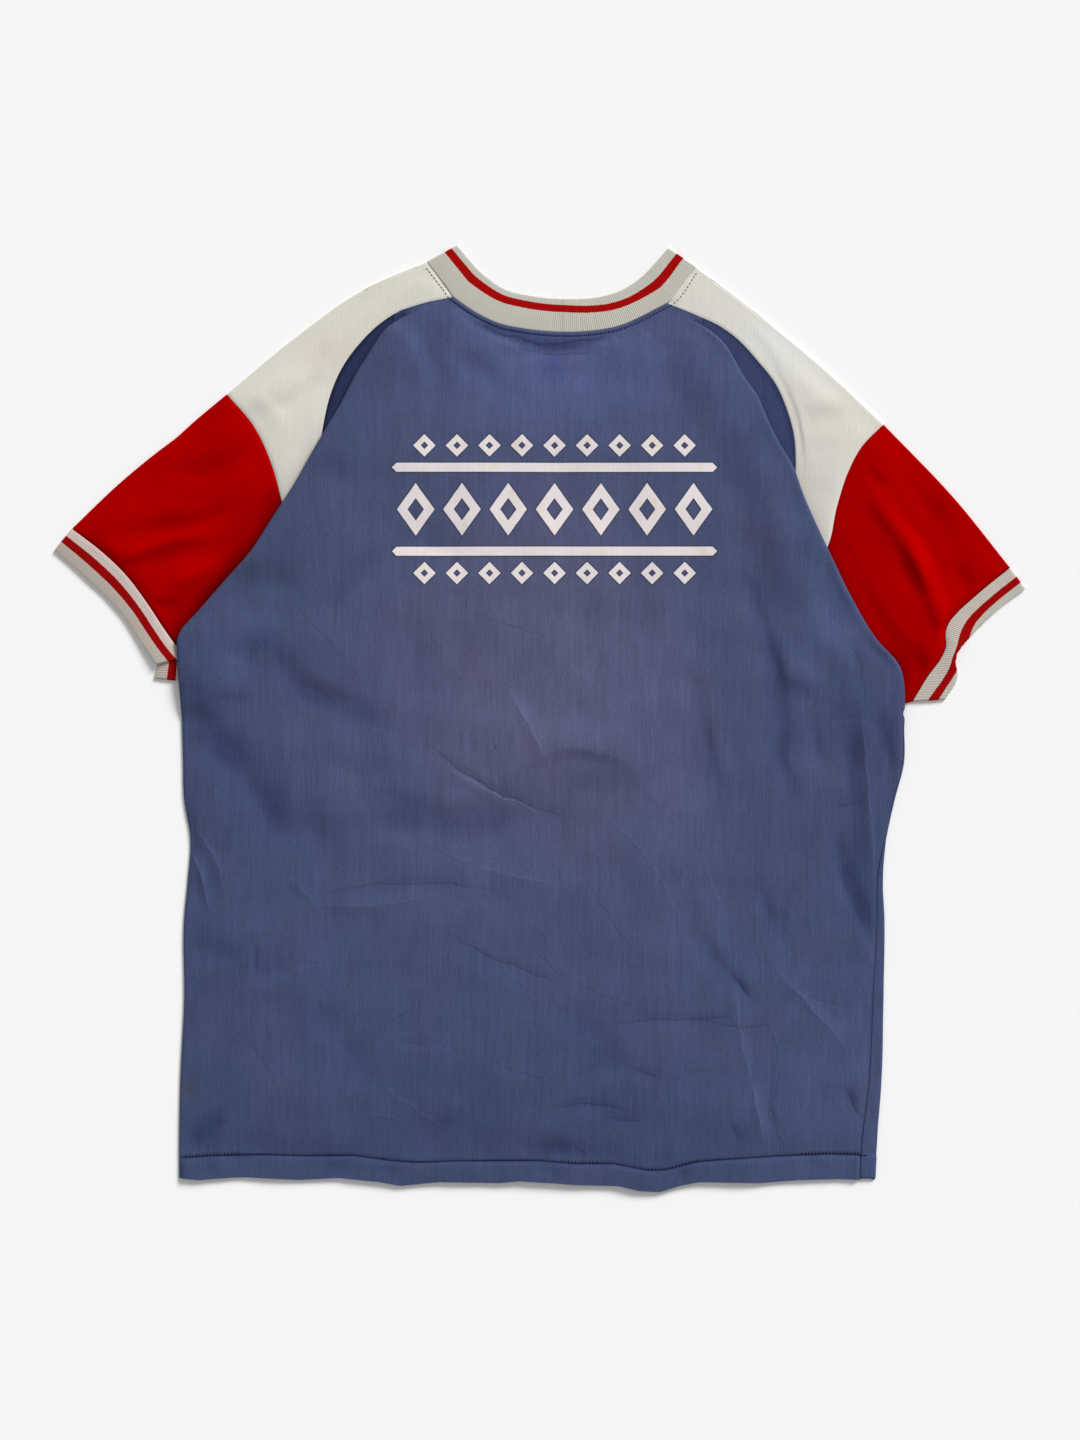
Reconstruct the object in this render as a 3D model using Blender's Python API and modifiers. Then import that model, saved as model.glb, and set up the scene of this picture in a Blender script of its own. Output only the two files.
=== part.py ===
# A pullover baseball jersey lying flat on its front, seen from the back.
# Every cut piece is its own wall of cloth, sewn edge to edge with its neighbours.
import math

import bmesh
import bpy
import numpy as np

mm = 0.001
wall = 1.0 * mm
layerPitch = 1.4 * mm     # from the middle of one layer to the middle of the next
seamInset = 0.2 * mm      # each piece stops this far short of the seam line
foldTurn = 0.5 * mm       # a fold's flat layers end this far behind its edge
ridgeWidth = 8 * mm       # the top layer stays level this far past its folds
frontLayer = 1
restLayer = 2             # the back lies on the front panel
wrapStart = 2 * mm        # the wrapped side strip begins this far inside the outline
hemStep = 1.0 * mm        # the front hem stays this far behind the back hem
weldDistance = 0.01 * mm
rowPull = 0.85            # pull of each row's ends on its curve, as a share of the row's width
innerColumns = 8
neckPoints = 15
shoulderNeckPoints = 4
hemPoints = 16
joinPoints = 6
sleeveRings = 6
bandRings = 4


def table(columns, *rows):
    names = columns.split()
    return [dict(zip(names, row)) for row in rows]


# The back's edges, from the neck down to the hem, in millimetres and degrees.
# x, y: the seam line. lean: how steeply the row runs down from it. fold, tuck: how far in from
# the seam the fold's visible edge and its hidden turn lie, negative towards the outside.
# low, mid, top: the layers of the seam edge, of the hidden turn and of the top. run: the width
# over which the top comes down to rest.
leftEdge = table(
    "x y lean fold tuck low mid top run",
    (-69, 338, 30, 6, 3, 2, 2, 2, 20),
    (-93, 333, 35, 6, 3, 2, 2, 2, 25),
    (-117, 324, 36, 7, 2, 2, 2.5, 3, 25),
    (-126, 318, 36, 7, 12, 2, 3, 4, 30),
    (-143, 302, 35, 11, 24, 2, 3, 4, 35),
    (-160, 278, 35, 13, 26, 2, 3, 4, 35),
    (-168, 258, 35, 11, 24, 2, 3, 4, 35),
    (-173, 236, 35, 4, 18, 2, 3, 4, 35),
    (-177, 208, 35, -6.5, 6, 2, 3, 4, 35),
    (-186, 181, 35, -12, 5, 2, 3, 4, 35),
    (-200, 156, 35, -14, 5, 2, 3, 4, 35),
    (-219.5, 126, 35, -14, 5, 2, 3, 4, 35),
    (-240.5, 102, 35, -14, 5, 2, 3, 4, 35),
    (-259, 79.5, 30, -15, 5, 2, 3, 4, 35),
    (-270, 59, 20, -20, 5, 2, 3, 4, 30),
    (-268, 46, 10, -22, 5, 2, 3, 4, 30),
    (-268, 26, 5, -20, 4, 2, 3, 4, 30),
    (-270, 14, 0, -17, -6, 1.7, 2.4, 3.4, 30),
    (-273, 0, 0, -13, -6, 1, 1, 2, 30),
    (-273, -30, 0, -12, -6, 1, 1, 2, 30),
    (-272, -64, 0, -12, -6, 1, 1, 2, 30),
    (-267, -96, 0, -12, -6, 1, 1, 2, 30),
    (-269, -128, 0, -12, -6, 1, 1, 2, 30),
    (-272, -160, 0, -12, -6, 1, 1, 2, 30),
    (-272, -224, 0, -12, -6, 1, 1, 2, 30),
    (-275, -288, 0, -12, -6, 1, 1, 2, 30),
    (-276, -340, 0, -12, -6, 1, 1, 2, 30),
    (-276, -368, 0, -12, -6, 1, 1, 2, 30),
)
rightEdge = table(
    "x y lean fold tuck low mid top run",
    (102, 332, 30, 6, 3, 2, 2, 2, 20),
    (123, 324, 36, 6, 3, 2, 2, 2, 25),
    (131, 321, 36, 7, 2, 2, 2.5, 3, 25),
    (140, 317, 36, 8, 14, 2, 3, 4, 30),
    (154, 308, 35, 10, 22, 2, 3, 4, 35),
    (177, 284, 33, 17, 29, 2, 3, 4, 35),
    (188, 270, 33, 18, 30, 2, 3, 4, 35),
    (198, 248, 30, 18, 30, 2, 3, 4, 35),
    (204, 225, 30, 13, 25, 2, 3, 4, 35),
    (205, 208, 28, 5, 18, 2, 3, 4, 35),
    (204, 172, 28, -9, 6, 2, 3, 4, 35),
    (210, 151, 27, -12, 5, 2, 3, 4, 35),
    (221, 123, 26, -14, 5, 2, 3, 4, 35),
    (234.5, 95, 26, -14, 5, 2, 3, 4, 35),
    (255, 57.5, 20, -16, 5, 2, 3, 4, 30),
    (268.5, 37, 14, -20, 5, 2, 3, 4, 30),
    (271, 9, 3, -21, 4, 2, 3, 4, 30),
    (284, 3, 0, 7, 4, 2, 3, 4, 30),
    (288, -8, 0, 6, 3, 2, 2, 2, 30),
    (287.5, -34, 0, 6, 3, 2, 2, 2, 30),
    (280.5, -64, 0, 6, 3, 2, 2, 2, 30),
    (273.5, -96, 0, 6, 3, 2, 2, 2, 30),
    (270.5, -128, 0, 6, 3, 2, 2, 2, 30),
    (271, -160, 0, 6, 3, 2, 2, 2, 30),
    (267, -224, 0, 6, 3, 2, 2, 2, 30),
    (263.5, -288, 0, 6, 3, 2, 2, 2, 30),
    (258.5, -340, 0, 6, 3, 2, 2, 2, 30),
    (256, -368, 0, 6, 3, 2, 2, 2, 30),
)
underarmRow = 16          # where the side seam, the armhole seams and the sleeve seam meet
sharedRow = 2             # the first row whose seam the front panel shares

# How far the front panel wraps over the right side, row by row down to the hem.
sideWrap = table(
    "row wrap",
    (17, 8), (18, 4), (19, 4), (20, 3.5), (21, 3.5), (22, 4),
    (23, 5), (24, 8), (25, 9.5), (26, 11), (27, 12),
)

# The uneven hem. It fades out above waveTop.
hemWave = table(
    "x y",
    (-288, -367), (-192, -368), (-112, -373), (-32, -371), (32, -372),
    (88, -378), (112, -373), (176, -371), (268, -368),
)
waveTop = -288

# Each arm: the fold line of the shoulder, the seam from white to red, the sleeve's top edge, the
# seam of the cuff and the cuff's open edge. Every line starts at its neck end or its top end.
leftArm = {
    "edge": leftEdge,
    "joinRow": 10,        # the row of the back's edge where the white piece ends
    "frontStart": (-93, 333),
    "neckFold": (-90, 366),
    "shoulder": [(-90, 366), (-140, 344), (-197, 304), (-250, 260)],
    "join": [(-250, 260), (-229, 235), (-213, 200), (-206, 174), (-200, 156)],
    "sleeveTop": [(-250, 260), (-316, 208), (-374, 152)],
    "cuffSeam": [(-374, 152), (-332, 116), (-300, 72), (-288, 54), (-281, 31)],
    "cuffEdge": [(-388, 136), (-345, 97), (-321, 65), (-306, 44), (-308, 32)],
}
rightArm = {
    "edge": rightEdge,
    "joinRow": 12,
    "frontStart": (123, 324),
    "neckFold": (125, 362),
    "shoulder": [(125, 362), (180, 320), (237, 272), (275, 236)],
    "join": [(275, 236), (257, 217), (247, 198), (238, 170), (230, 137), (221, 123)],
    "sleeveTop": [(275, 236), (332, 176), (376, 121)],
    "cuffSeam": [(376, 121), (345, 96), (325, 71), (321, 48), (297, 13)],
    "cuffEdge": [(388, 104), (353, 76), (333, 46), (332, 28), (310, 13)],
}

# The collar's open edge on the back and on the front, and its seam on the front.
backNeck = [(-66, 379), (-40, 352), (-10, 339), (20, 336), (55, 340), (80, 352), (103, 377)]
frontNeck = [
    (-66, 379), (-66, 345), (-56, 312), (-30, 286), (17, 275), (63, 286), (88, 312), (101, 345),
    (103, 377),
]
frontNeckSeam = [
    (-93, 333), (-78, 292), (-40, 258), (16, 246), (70, 258), (108, 290), (123, 324),
]

clothColours = {
    "blue knit": (0.060, 0.071, 0.165),
    "white knit": (0.70, 0.68, 0.62),
    "red knit": (0.35, 0.0, 0.0),
    "grey rib": (0.50, 0.48, 0.42),
}
clothRoughness = 0.8


def layerHeight(layer):
    return wall / 2 + (layer - 1) * layerPitch


def curveAt(start, leave, end, arrive, t):
    # A point on the smooth curve between two ends with given directions.
    return (
        (2 * t**3 - 3 * t**2 + 1) * start
        + (t**3 - 2 * t**2 + t) * leave
        + (3 * t**2 - 2 * t**3) * end
        + (t**3 - t**2) * arrive
    )


def line(points, count):
    # Points at equal steps along a smooth line through a few given ones.
    known = np.array(points, float)
    steps = np.linalg.norm(np.diff(known, axis=0), axis=1)
    at = np.concatenate([[0], np.cumsum(steps)])
    slopes = np.gradient(known, at, axis=0)
    found = []
    for distance in np.linspace(0, at[-1], count):
        i = min(int(np.searchsorted(at, distance, side="right")) - 1, len(steps) - 1)
        t = (distance - at[i]) / steps[i]
        leave, arrive = slopes[i] * steps[i], slopes[i + 1] * steps[i]
        found.append(curveAt(known[i], leave, known[i + 1], arrive, t))
    return np.array(found)


def patch(starts, ends, first, last):
    # Rows of points between two side lines. The first and last rows follow given lines.
    across = np.linspace(0, 1, len(first))[:, None]
    bends = [row - (row[0] + across * (row[-1] - row[0])) for row in (first, last)]
    down = np.linspace(0, 1, len(starts))
    rows = [
        start + across * (end - start) + (1 - v) * bends[0] + v * bends[1]
        for start, end, v in zip(starts, ends, down)
    ]
    return np.array(rows)


def raised(plan, layer):
    # Plan points in millimetres, laid in one layer.
    heights = np.full(plan.shape[:-1] + (1,), layerHeight(layer))
    return np.concatenate([plan * mm, heights], axis=-1)


def stepped(corners, towards, distance):
    # Each corner moved this far, or nearly half way, towards another point.
    step = towards - corners
    length = np.linalg.norm(step, axis=-1, keepdims=True)
    return corners + step * np.minimum(distance, 0.45 * length) / length


def seamPoints(edge, first, last):
    return np.array([(row["x"], row["y"]) for row in edge[first:last + 1]], float)


def hemShift(x, y):
    # How far the uneven hem moves a point of the panels up or down.
    wave = line([(row["x"], row["y"]) for row in hemWave], 4 * len(hemWave)) * mm
    bottom = leftEdge[-1]["y"] * mm
    share = np.clip((waveTop * mm - y) / (waveTop * mm - bottom), 0, 1)
    return (np.interp(x, wave[:, 0], wave[:, 1]) - bottom) * share


def edgeSection(edge, inward):
    # One row of the back near its edge: seam, hidden turn, fold edge, level top, resting top.
    lean = math.radians(edge["lean"])
    way = np.array([inward * math.cos(lean), -math.sin(lean)])
    seam = np.array([edge["x"], edge["y"]])
    ridge = max(edge["fold"], edge["tuck"]) + ridgeWidth / mm

    def corner(distance, layer):
        return raised(seam + way * distance, layer)

    start = corner(math.copysign(seamInset / mm, edge["tuck"]), edge["low"])
    tuckLow = corner(edge["tuck"], edge["low"])
    tuckHigh = corner(edge["tuck"], edge["mid"])
    foldLow = corner(edge["fold"], edge["mid"])
    foldHigh = corner(edge["fold"], edge["top"])
    level = corner(ridge, edge["top"])
    return [
        start,
        stepped(tuckLow, start, foldTurn),
        (tuckLow + tuckHigh) / 2,
        stepped(tuckHigh, foldLow, foldTurn),
        stepped(foldLow, tuckHigh, foldTurn),
        (foldLow + foldHigh) / 2,
        stepped(foldHigh, level, foldTurn),
        level,
        corner(ridge + edge["run"], restLayer),
    ]


def backRow(index):
    left, right = leftEdge[index], rightEdge[index]
    first = edgeSection(left, 1)
    last = edgeSection(right, -1)[::-1]
    start, end = first[-1], last[0]
    pull = np.linalg.norm(end - start) * rowPull
    leanLeft, leanRight = math.radians(left["lean"]), math.radians(right["lean"])
    leave = pull * np.array([math.cos(leanLeft), -math.sin(leanLeft), 0])
    arrive = pull * np.array([math.cos(leanRight), math.sin(leanRight), 0])
    steps = np.linspace(0, 1, innerColumns + 2)[1:-1]
    middle = [curveAt(start, leave, end, arrive, t) for t in steps]
    row = np.array(first + middle + last)
    row[:, 1] += hemShift(row[:, 0], row[:, 1])
    return row


def drawnBack(sheet, ends):
    # The given end rows, moved off the seam line towards their inner neighbours.
    for end in ends:
        inner = 1 if end == 0 else end - 1
        sheet[end] = stepped(sheet[end], sheet[inner], seamInset)
    return sheet


def foldedOver(back, front):
    # A sheet that runs out on the back, turns over the outline and returns on the front.
    outline = (back[:, -1] + front[:, 0]) / 2
    backTurn = stepped(back[:, -1], back[:, -2], foldTurn)
    frontTurn = stepped(front[:, 0], front[:, 1], foldTurn)
    columns = [back[:, :-1], backTurn[:, None], outline[:, None], frontTurn[:, None], front[:, 1:]]
    return np.concatenate(columns, axis=1)


def foldedTube(backPlan, frontPlan):
    # A flattened tube. Both plans run from its top edge to its lower edge.
    back = raised(backPlan, restLayer)
    front = raised(frontPlan, frontLayer)[:, ::-1]
    around = foldedOver(back, front)[:, 1:-1]
    topEdge = (back[:, 0] + front[:, -1]) / 2
    backTurn = stepped(back[:, 0], back[:, 1], foldTurn)
    frontTurn = stepped(front[:, -1], front[:, -2], foldTurn)
    columns = [topEdge[:, None], backTurn[:, None], around, frontTurn[:, None], topEdge[:, None]]
    return np.concatenate(columns, axis=1)


def backSheet():
    rows = np.array([backRow(i) for i in range(len(leftEdge))])
    rows[0, :, 1] -= seamInset
    return rows


def sideStrip():
    # The front panel's wrap over the right side, one row for each row of the back.
    low, high = layerHeight(frontLayer), layerHeight(restLayer)
    strip = []
    for entry in sideWrap:
        seam = rightEdge[entry["row"]]
        outer = (seam["x"] + entry["wrap"]) * mm
        y = seam["y"] * mm
        y += hemShift(outer, y)
        strip.append([
            (outer - wrapStart, y, low),
            (outer - foldTurn, y, low),
            (outer, y, (low + high) / 2),
            (outer - foldTurn, y, high),
            (seam["x"] * mm + seamInset, y, high),
        ])
    strip[-1] = [(x, y + hemStep, z) for x, y, z in strip[-1]]
    return np.array(strip)


def frontOutline(strip):
    # The front panel's flat outline: neck, left side, hem, wrapped side and right armhole.
    neck = raised(line(frontNeckSeam, neckPoints)[::-1], frontLayer)
    neck[:, 1] -= seamInset
    left = raised(seamPoints(leftEdge, sharedRow, len(leftEdge) - 2), frontLayer)
    left[:, 0] += seamInset
    right = raised(seamPoints(rightEdge, sharedRow, underarmRow)[::-1], frontLayer)
    right[:, 0] -= seamInset
    right[0, 1] -= 2 * seamInset
    hemStart, hemEnd = leftEdge[-1]["x"] * mm + seamInset, strip[-1, 0, 0]
    bottom = leftEdge[-1]["y"] * mm
    hem = [
        (x, bottom + hemShift(x, bottom) + hemStep, layerHeight(frontLayer))
        for x in np.linspace(hemStart, hemEnd, hemPoints)[:-1]
    ]
    return np.concatenate([neck, left, hem, strip[::-1, 0], right])


def shoulderSheet(arm):
    # The white piece, from the back seam over the shoulder line to the front seam.
    outline = line(arm["shoulder"], arm["joinRow"] + 1)
    join = line(arm["join"][::-1], joinPoints)
    seam = seamPoints(arm["edge"], 0, arm["joinRow"])
    back = patch(seam, outline, line([seam[0], outline[0]], joinPoints), join)
    seam[0] = arm["frontStart"]
    seam[1] = (seam[0] + seam[2]) / 2
    front = patch(seam, outline, line([seam[0], outline[0]], joinPoints), join)
    sheet = foldedOver(raised(back, restLayer), raised(front, frontLayer)[:, ::-1])
    drawnBack(sheet, (0, -1))
    drawnBack(sheet.swapaxes(0, 1), (0, -1))
    return sheet


def upperRing(arm):
    # The sleeve's upper end: along the white piece, then down the armhole.
    armhole = seamPoints(arm["edge"], arm["joinRow"], underarmRow)
    return np.concatenate([line(arm["join"], joinPoints), armhole[1:]])


def sleeveSheet(arm):
    upper = upperRing(arm)
    lower = line(arm["cuffSeam"], len(upper))
    topEdge = line(arm["sleeveTop"], sleeveRings)
    lowEdge = line([upper[-1], lower[-1]], sleeveRings)
    plan = patch(upper, lower, topEdge, lowEdge).swapaxes(0, 1)
    return drawnBack(foldedTube(plan, plan), (0, -1))


def bandPlan(seam, edge):
    steps = np.linspace(0, 1, bandRings)[:, None, None]
    return seam + steps * (edge - seam)


def cuffSheet(arm):
    count = len(upperRing(arm))
    plan = bandPlan(line(arm["cuffSeam"], count), line(arm["cuffEdge"], count))
    return drawnBack(foldedTube(plan, plan), (0,))


def collarSheet():
    # The band round the neck. Its back seam follows the first row of the back panel.
    row = backRow(0)[:, :2] / mm
    ends = len(edgeSection(leftEdge[0], 1))
    row = row[[0, *range(ends - 2, len(row) - ends + 2), -1]]
    leftBack = line([leftArm["neckFold"], row[0]], shoulderNeckPoints)[:-1]
    rightBack = line([row[-1], rightArm["neckFold"]], shoulderNeckPoints)[1:]
    backSeam = np.concatenate([leftBack, row, rightBack])
    leftFront = line([leftArm["neckFold"], leftArm["frontStart"]], shoulderNeckPoints)[:-1]
    rightFront = line([rightArm["frontStart"], rightArm["neckFold"]], shoulderNeckPoints)[1:]
    frontSeam = np.concatenate([leftFront, line(frontNeckSeam, neckPoints), rightFront])
    backBand = bandPlan(backSeam, line(backNeck, len(backSeam)))
    frontBand = bandPlan(frontSeam, line(frontNeck, len(frontSeam)))
    return drawnBack(foldedTube(backBand, frontBand), (0,))


def clothMaterial(name):
    made = bpy.data.materials.new(name)
    made.use_nodes = True
    shader = made.node_tree.nodes["Principled BSDF"]
    shader.inputs["Base Color"].default_value = (*clothColours[name], 1)
    shader.inputs["Roughness"].default_value = clothRoughness
    made.diffuse_color = (*clothColours[name], 1)
    return made


def addSheet(bm, sheet):
    rows, columns = sheet.shape[:2]
    made = bmesh.ops.create_grid(bm, x_segments=columns - 1, y_segments=rows - 1, size=1)
    for vert, place in zip(made["verts"], sheet.reshape(-1, 3)):
        vert.co = place


def clothPiece(name, bm, cloth, collection):
    # An open sheet, welded and given its wall.
    bmesh.ops.remove_doubles(bm, verts=bm.verts, dist=weldDistance)
    bmesh.ops.recalc_face_normals(bm, faces=bm.faces)
    mesh = bpy.data.meshes.new(name)
    bm.to_mesh(mesh)
    bm.free()
    mesh.materials.append(cloth)
    piece = bpy.data.objects.new(name, mesh)
    collection.objects.link(piece)
    thickness = piece.modifiers.new("wall", "SOLIDIFY")
    thickness.thickness = wall
    thickness.offset = 0
    thickness.use_quality_normals = True


def sheetPiece(name, sheet, cloth, collection):
    bm = bmesh.new()
    addSheet(bm, sheet)
    clothPiece(name, bm, cloth, collection)


def frontPiece(cloth, collection):
    strip = sideStrip()
    bm = bmesh.new()
    bm.faces.new([bm.verts.new(place) for place in frontOutline(strip)])
    addSheet(bm, strip)
    clothPiece("front_panel", bm, cloth, collection)


def buildJersey():
    for leftover in list(bpy.data.objects):
        bpy.data.objects.remove(leftover, do_unlink=True)
    collection = bpy.data.collections.new("baseball_jersey")
    bpy.context.scene.collection.children.link(collection)
    cloths = {name: clothMaterial(name) for name in clothColours}
    sheetPiece("back_panel", backSheet(), cloths["blue knit"], collection)
    frontPiece(cloths["blue knit"], collection)
    for side, arm in (("left", leftArm), ("right", rightArm)):
        sheetPiece(side + "_shoulder", shoulderSheet(arm), cloths["white knit"], collection)
        sheetPiece(side + "_sleeve", sleeveSheet(arm), cloths["red knit"], collection)
        sheetPiece(side + "_cuff", cuffSheet(arm), cloths["grey rib"], collection)
    sheetPiece("collar", collarSheet(), cloths["grey rib"], collection)


buildJersey()
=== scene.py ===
# A pullover baseball jersey laid flat on its front, seen from the back.
# Each cut piece is a thin shell of knit on its CAD solid, and its creases are placed one by one.
import math

import bmesh
import bpy
import numpy as np
from mathutils import Matrix, Vector
from mathutils.bvhtree import BVHTree


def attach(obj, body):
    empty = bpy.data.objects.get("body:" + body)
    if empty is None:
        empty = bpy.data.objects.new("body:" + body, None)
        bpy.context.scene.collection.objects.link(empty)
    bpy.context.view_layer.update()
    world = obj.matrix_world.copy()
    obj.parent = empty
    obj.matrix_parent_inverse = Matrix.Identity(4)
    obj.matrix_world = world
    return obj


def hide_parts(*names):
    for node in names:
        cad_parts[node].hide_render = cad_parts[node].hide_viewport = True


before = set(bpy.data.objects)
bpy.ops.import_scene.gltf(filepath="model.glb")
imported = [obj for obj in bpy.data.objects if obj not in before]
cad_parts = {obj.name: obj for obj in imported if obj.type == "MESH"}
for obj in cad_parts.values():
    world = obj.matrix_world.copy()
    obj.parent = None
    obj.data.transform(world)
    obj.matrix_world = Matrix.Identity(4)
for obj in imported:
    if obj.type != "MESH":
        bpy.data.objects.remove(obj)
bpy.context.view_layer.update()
scene = bpy.context.scene

# Plans and heights are worked out in millimetres and become metres when a mesh is made.
mm = 0.001
layerPitch = 1.4
firstLayer = 0.5
seamInset = 0.2
weldDistance = 0.01 * mm
turnAngles = np.radians([90, 60, 30, 0, -30, -60, -90])


def table(columns, *rows):
    names = columns.split()
    return [dict(zip(names, row)) for row in rows]


# The back's edges from the neck down to the hem, as in the CAD. x, y: the seam. lean: how steeply
# a row runs down from it. fold, tuck: how far in from the seam the visible fold and the hidden
# turn lie. low, mid, top: the layers of the seam, the hidden turn and the top. run: the width
# over which the top comes down.
leftEdge = table(
    "x y lean fold tuck run low mid top",
    (-69, 338, 30, 6, 3, 20, 2, 2, 2),
    (-93, 333, 35, 6, 3, 25, 2, 2, 2),
    (-117, 324, 36, 7, 2, 25, 2, 2.5, 3),
    (-126, 318, 36, 7, 12, 30, 2, 3, 4),
    (-143, 302, 35, 11, 24, 35, 2, 3, 4),
    (-160, 278, 35, 13, 26, 35, 2, 3, 4),
    (-168, 258, 35, 11, 24, 35, 2, 3, 4),
    (-173, 236, 35, 4, 18, 35, 2, 3, 4),
    (-177, 208, 35, -6.5, 6, 35, 2, 3, 4),
    (-186, 181, 35, -12, 5, 35, 2, 3, 4),
    (-200, 156, 35, -14, 5, 35, 2, 3, 4),
    (-219.5, 126, 35, -14, 5, 35, 2, 3, 4),
    (-240.5, 102, 35, -14, 5, 35, 2, 3, 4),
    (-259, 79.5, 30, -15, 5, 35, 2, 3, 4),
    (-270, 59, 18.5, -20, 5, 30, 2, 3, 4),
    (-268, 46, 14.7, -22, 5, 30, 2, 3, 4),
    (-268, 26, 7.6, -20, 4, 30, 2, 3, 4),
    (-270, 14, 6.7, -17, -6, 30, 1.7, 2.4, 3.4),
    (-273, 0, 4.3, -13, -6, 30, 1, 1, 2),
    (-273, -30, 1.3, -12, -6, 30, 1, 1, 2),
    (-272, -64, 0, -12, -6, 30, 1, 1, 2),
    (-267, -96, 0, -12, -6, 30, 1, 1, 2),
    (-269, -128, 0, -12, -6, 30, 1, 1, 2),
    (-272, -160, 0, -12, -6, 30, 1, 1, 2),
    (-272, -224, 0, -12, -6, 30, 1, 1, 2),
    (-275, -288, 0, -12, -6, 30, 1, 1, 2),
    (-276, -340, 0, -12, -6, 30, 1, 1, 2),
    (-276, -368, 0, -12, -6, 30, 1, 1, 2),
)
rightEdge = table(
    "x y lean fold tuck run low mid top",
    (102, 332, 30, 6, 3, 20, 2, 2, 2),
    (123, 324, 36, 6, 3, 25, 2, 2, 2),
    (131, 321, 36, 7, 2, 25, 2, 2.5, 3),
    (140, 317, 36, 8, 14, 30, 2, 3, 4),
    (154, 308, 35, 10, 22, 35, 2, 3, 4),
    (177, 284, 33, 17, 29, 35, 2, 3, 4),
    (188, 270, 33, 18, 30, 35, 2, 3, 4),
    (198, 248, 30, 18, 30, 35, 2, 3, 4),
    (204, 225, 30, 13, 25, 35, 2, 3, 4),
    (205, 208, 28, 5, 18, 35, 2, 3, 4),
    (204, 172, 28, -9, 6, 35, 2, 3, 4),
    (210, 151, 27, -12, 5, 35, 2, 3, 4),
    (221, 123, 26, -14, 5, 35, 2, 3, 4),
    (234.5, 95, 26, -14, 5, 35, 2, 3, 4),
    (255, 57.5, 18.5, -16, 5, 30, 2, 3, 3.9),
    (268.5, 37, 14.7, -20, 5, 30, 2, 3, 3.75),
    (271, 9, 7.6, -21, 4, 36, 2, 3, 3.6),
    (291, 3, 6.7, 0.6, 0.5, 38, 2, 2, 3.6),
    (291, -8, 4.3, 0.6, 0.5, 40, 2, 2, 3.45),
    (290.5, -34, 1.3, 0.6, 0.5, 42, 2, 2, 3.1),
    (283, -64, 0, 0.6, 0.5, 38, 2, 2, 2.7),
    (276, -96, 0, 0.6, 0.5, 30, 2, 2, 2.2),
    (270.6, -128, 0, 6, 3, 30, 2, 2, 2),
    (270.2, -160, 0, 6, 3, 30, 2, 2, 2),
    (266.8, -224, 0, 6, 3, 30, 2, 2, 2),
    (264, -288, 0, 6, 3, 30, 2, 2, 2),
    (258, -340, 0, 6, 3, 30, 2, 2, 2),
    (256.4, -368, 0, 6, 3, 30, 2, 2, 2),
)
underarmRow = 16
# How much further in the cloth stays high below the right underarm, at fractional rows.
underarmShelf = {"row": (16, 17, 18, 19, 20, 21), "width": (0, 22, 19, 12, 5, 0)}
sideWrap = table(
    "row wrap",
    (17, 0.3), (18, 0.6), (19, 1), (20, 1), (21, 1), (22, 4), (23, 5.6), (24, 8.2), (25, 9.4),
    (26, 11.8), (27, 11.8),
)

# Where the blind stitch and the bottom edge of the hem really run.
hem = {
    "waveTop": -288,
    "stitchRow": -350,
    "bottomRow": -368,
    "stitchEnds": [(-284, -350.8), (262, -349)],
    "stitch": [
        (-287, -351), (-260, -349), (-228, -348), (-186, -349), (-148, -349), (-124, -352.4),
        (-102, -354), (-60, -353.2), (0, -353.2), (29, -355.6), (59, -355.6), (88, -361),
        (101, -360.4), (126, -354), (156, -351.6), (194, -349.2), (233, -347.6), (256, -348.4),
        (272, -350),
    ],
    "bottom": [
        (-288, -367), (-272, -368.4), (-240, -366), (-192, -368.4), (-160, -366.8),
        (-128, -370), (-112, -373.2), (-80, -370), (-32, -370.8), (-16, -369.2), (32, -372.4),
        (64, -373.2), (80, -377.2), (96, -378), (112, -373.2), (128, -370), (176, -370.8),
        (208, -368.4), (240, -367.6), (256, -368.4), (272, -368),
    ],
}

# Each arm: the shoulder fold, the white-to-red seam, the sleeve's top edge and the cuff's seam.
leftArm = {
    "edge": leftEdge,
    "inward": 1,
    "shadow": {"depth": 0.68, "width": 9},
    "joinRow": 10,
    "frontStart": (-93, 333),
    "neckFold": (-90, 366),
    "shoulder": [(-90, 366), (-140, 344), (-197, 304), (-250, 260)],
    "join": [(-250, 260), (-229, 235), (-213, 200), (-206, 174), (-200, 156)],
    "sleeveTop": [
        (-250, 260), (-278, 236.5), (-290, 225.6), (-307, 212.6), (-336, 188.4), (-374, 152),
    ],
    "cuffSeam": [
        (-374, 152.4), (-352.8, 136.4), (-331.6, 116.4), (-314, 93.2), (-300.4, 72.4),
        (-290.8, 58.8), (-284, 46), (-281, 31),
    ],
}
rightArm = {
    "edge": rightEdge,
    "inward": -1,
    "shadow": {"depth": 0.45, "width": 5},
    "joinRow": 12,
    "frontStart": (123, 324),
    "neckFold": (125, 362),
    "shoulder": [(125, 362), (180, 320), (237, 272), (275, 236)],
    "join": [(275, 236), (257, 217), (247, 198), (238, 170), (230, 137), (221, 123)],
    "sleeveTop": [(275, 236), (332, 176), (376, 121)],
    "cuffSeam": [
        (376.4, 121.2), (361.2, 109.2), (345.2, 95.6), (334, 85.2), (327.6, 77.2),
        (325.2, 70.8), (325.2, 57.2), (321.2, 48.4), (311.6, 35.6), (298.8, 14.8),
    ],
}

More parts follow.
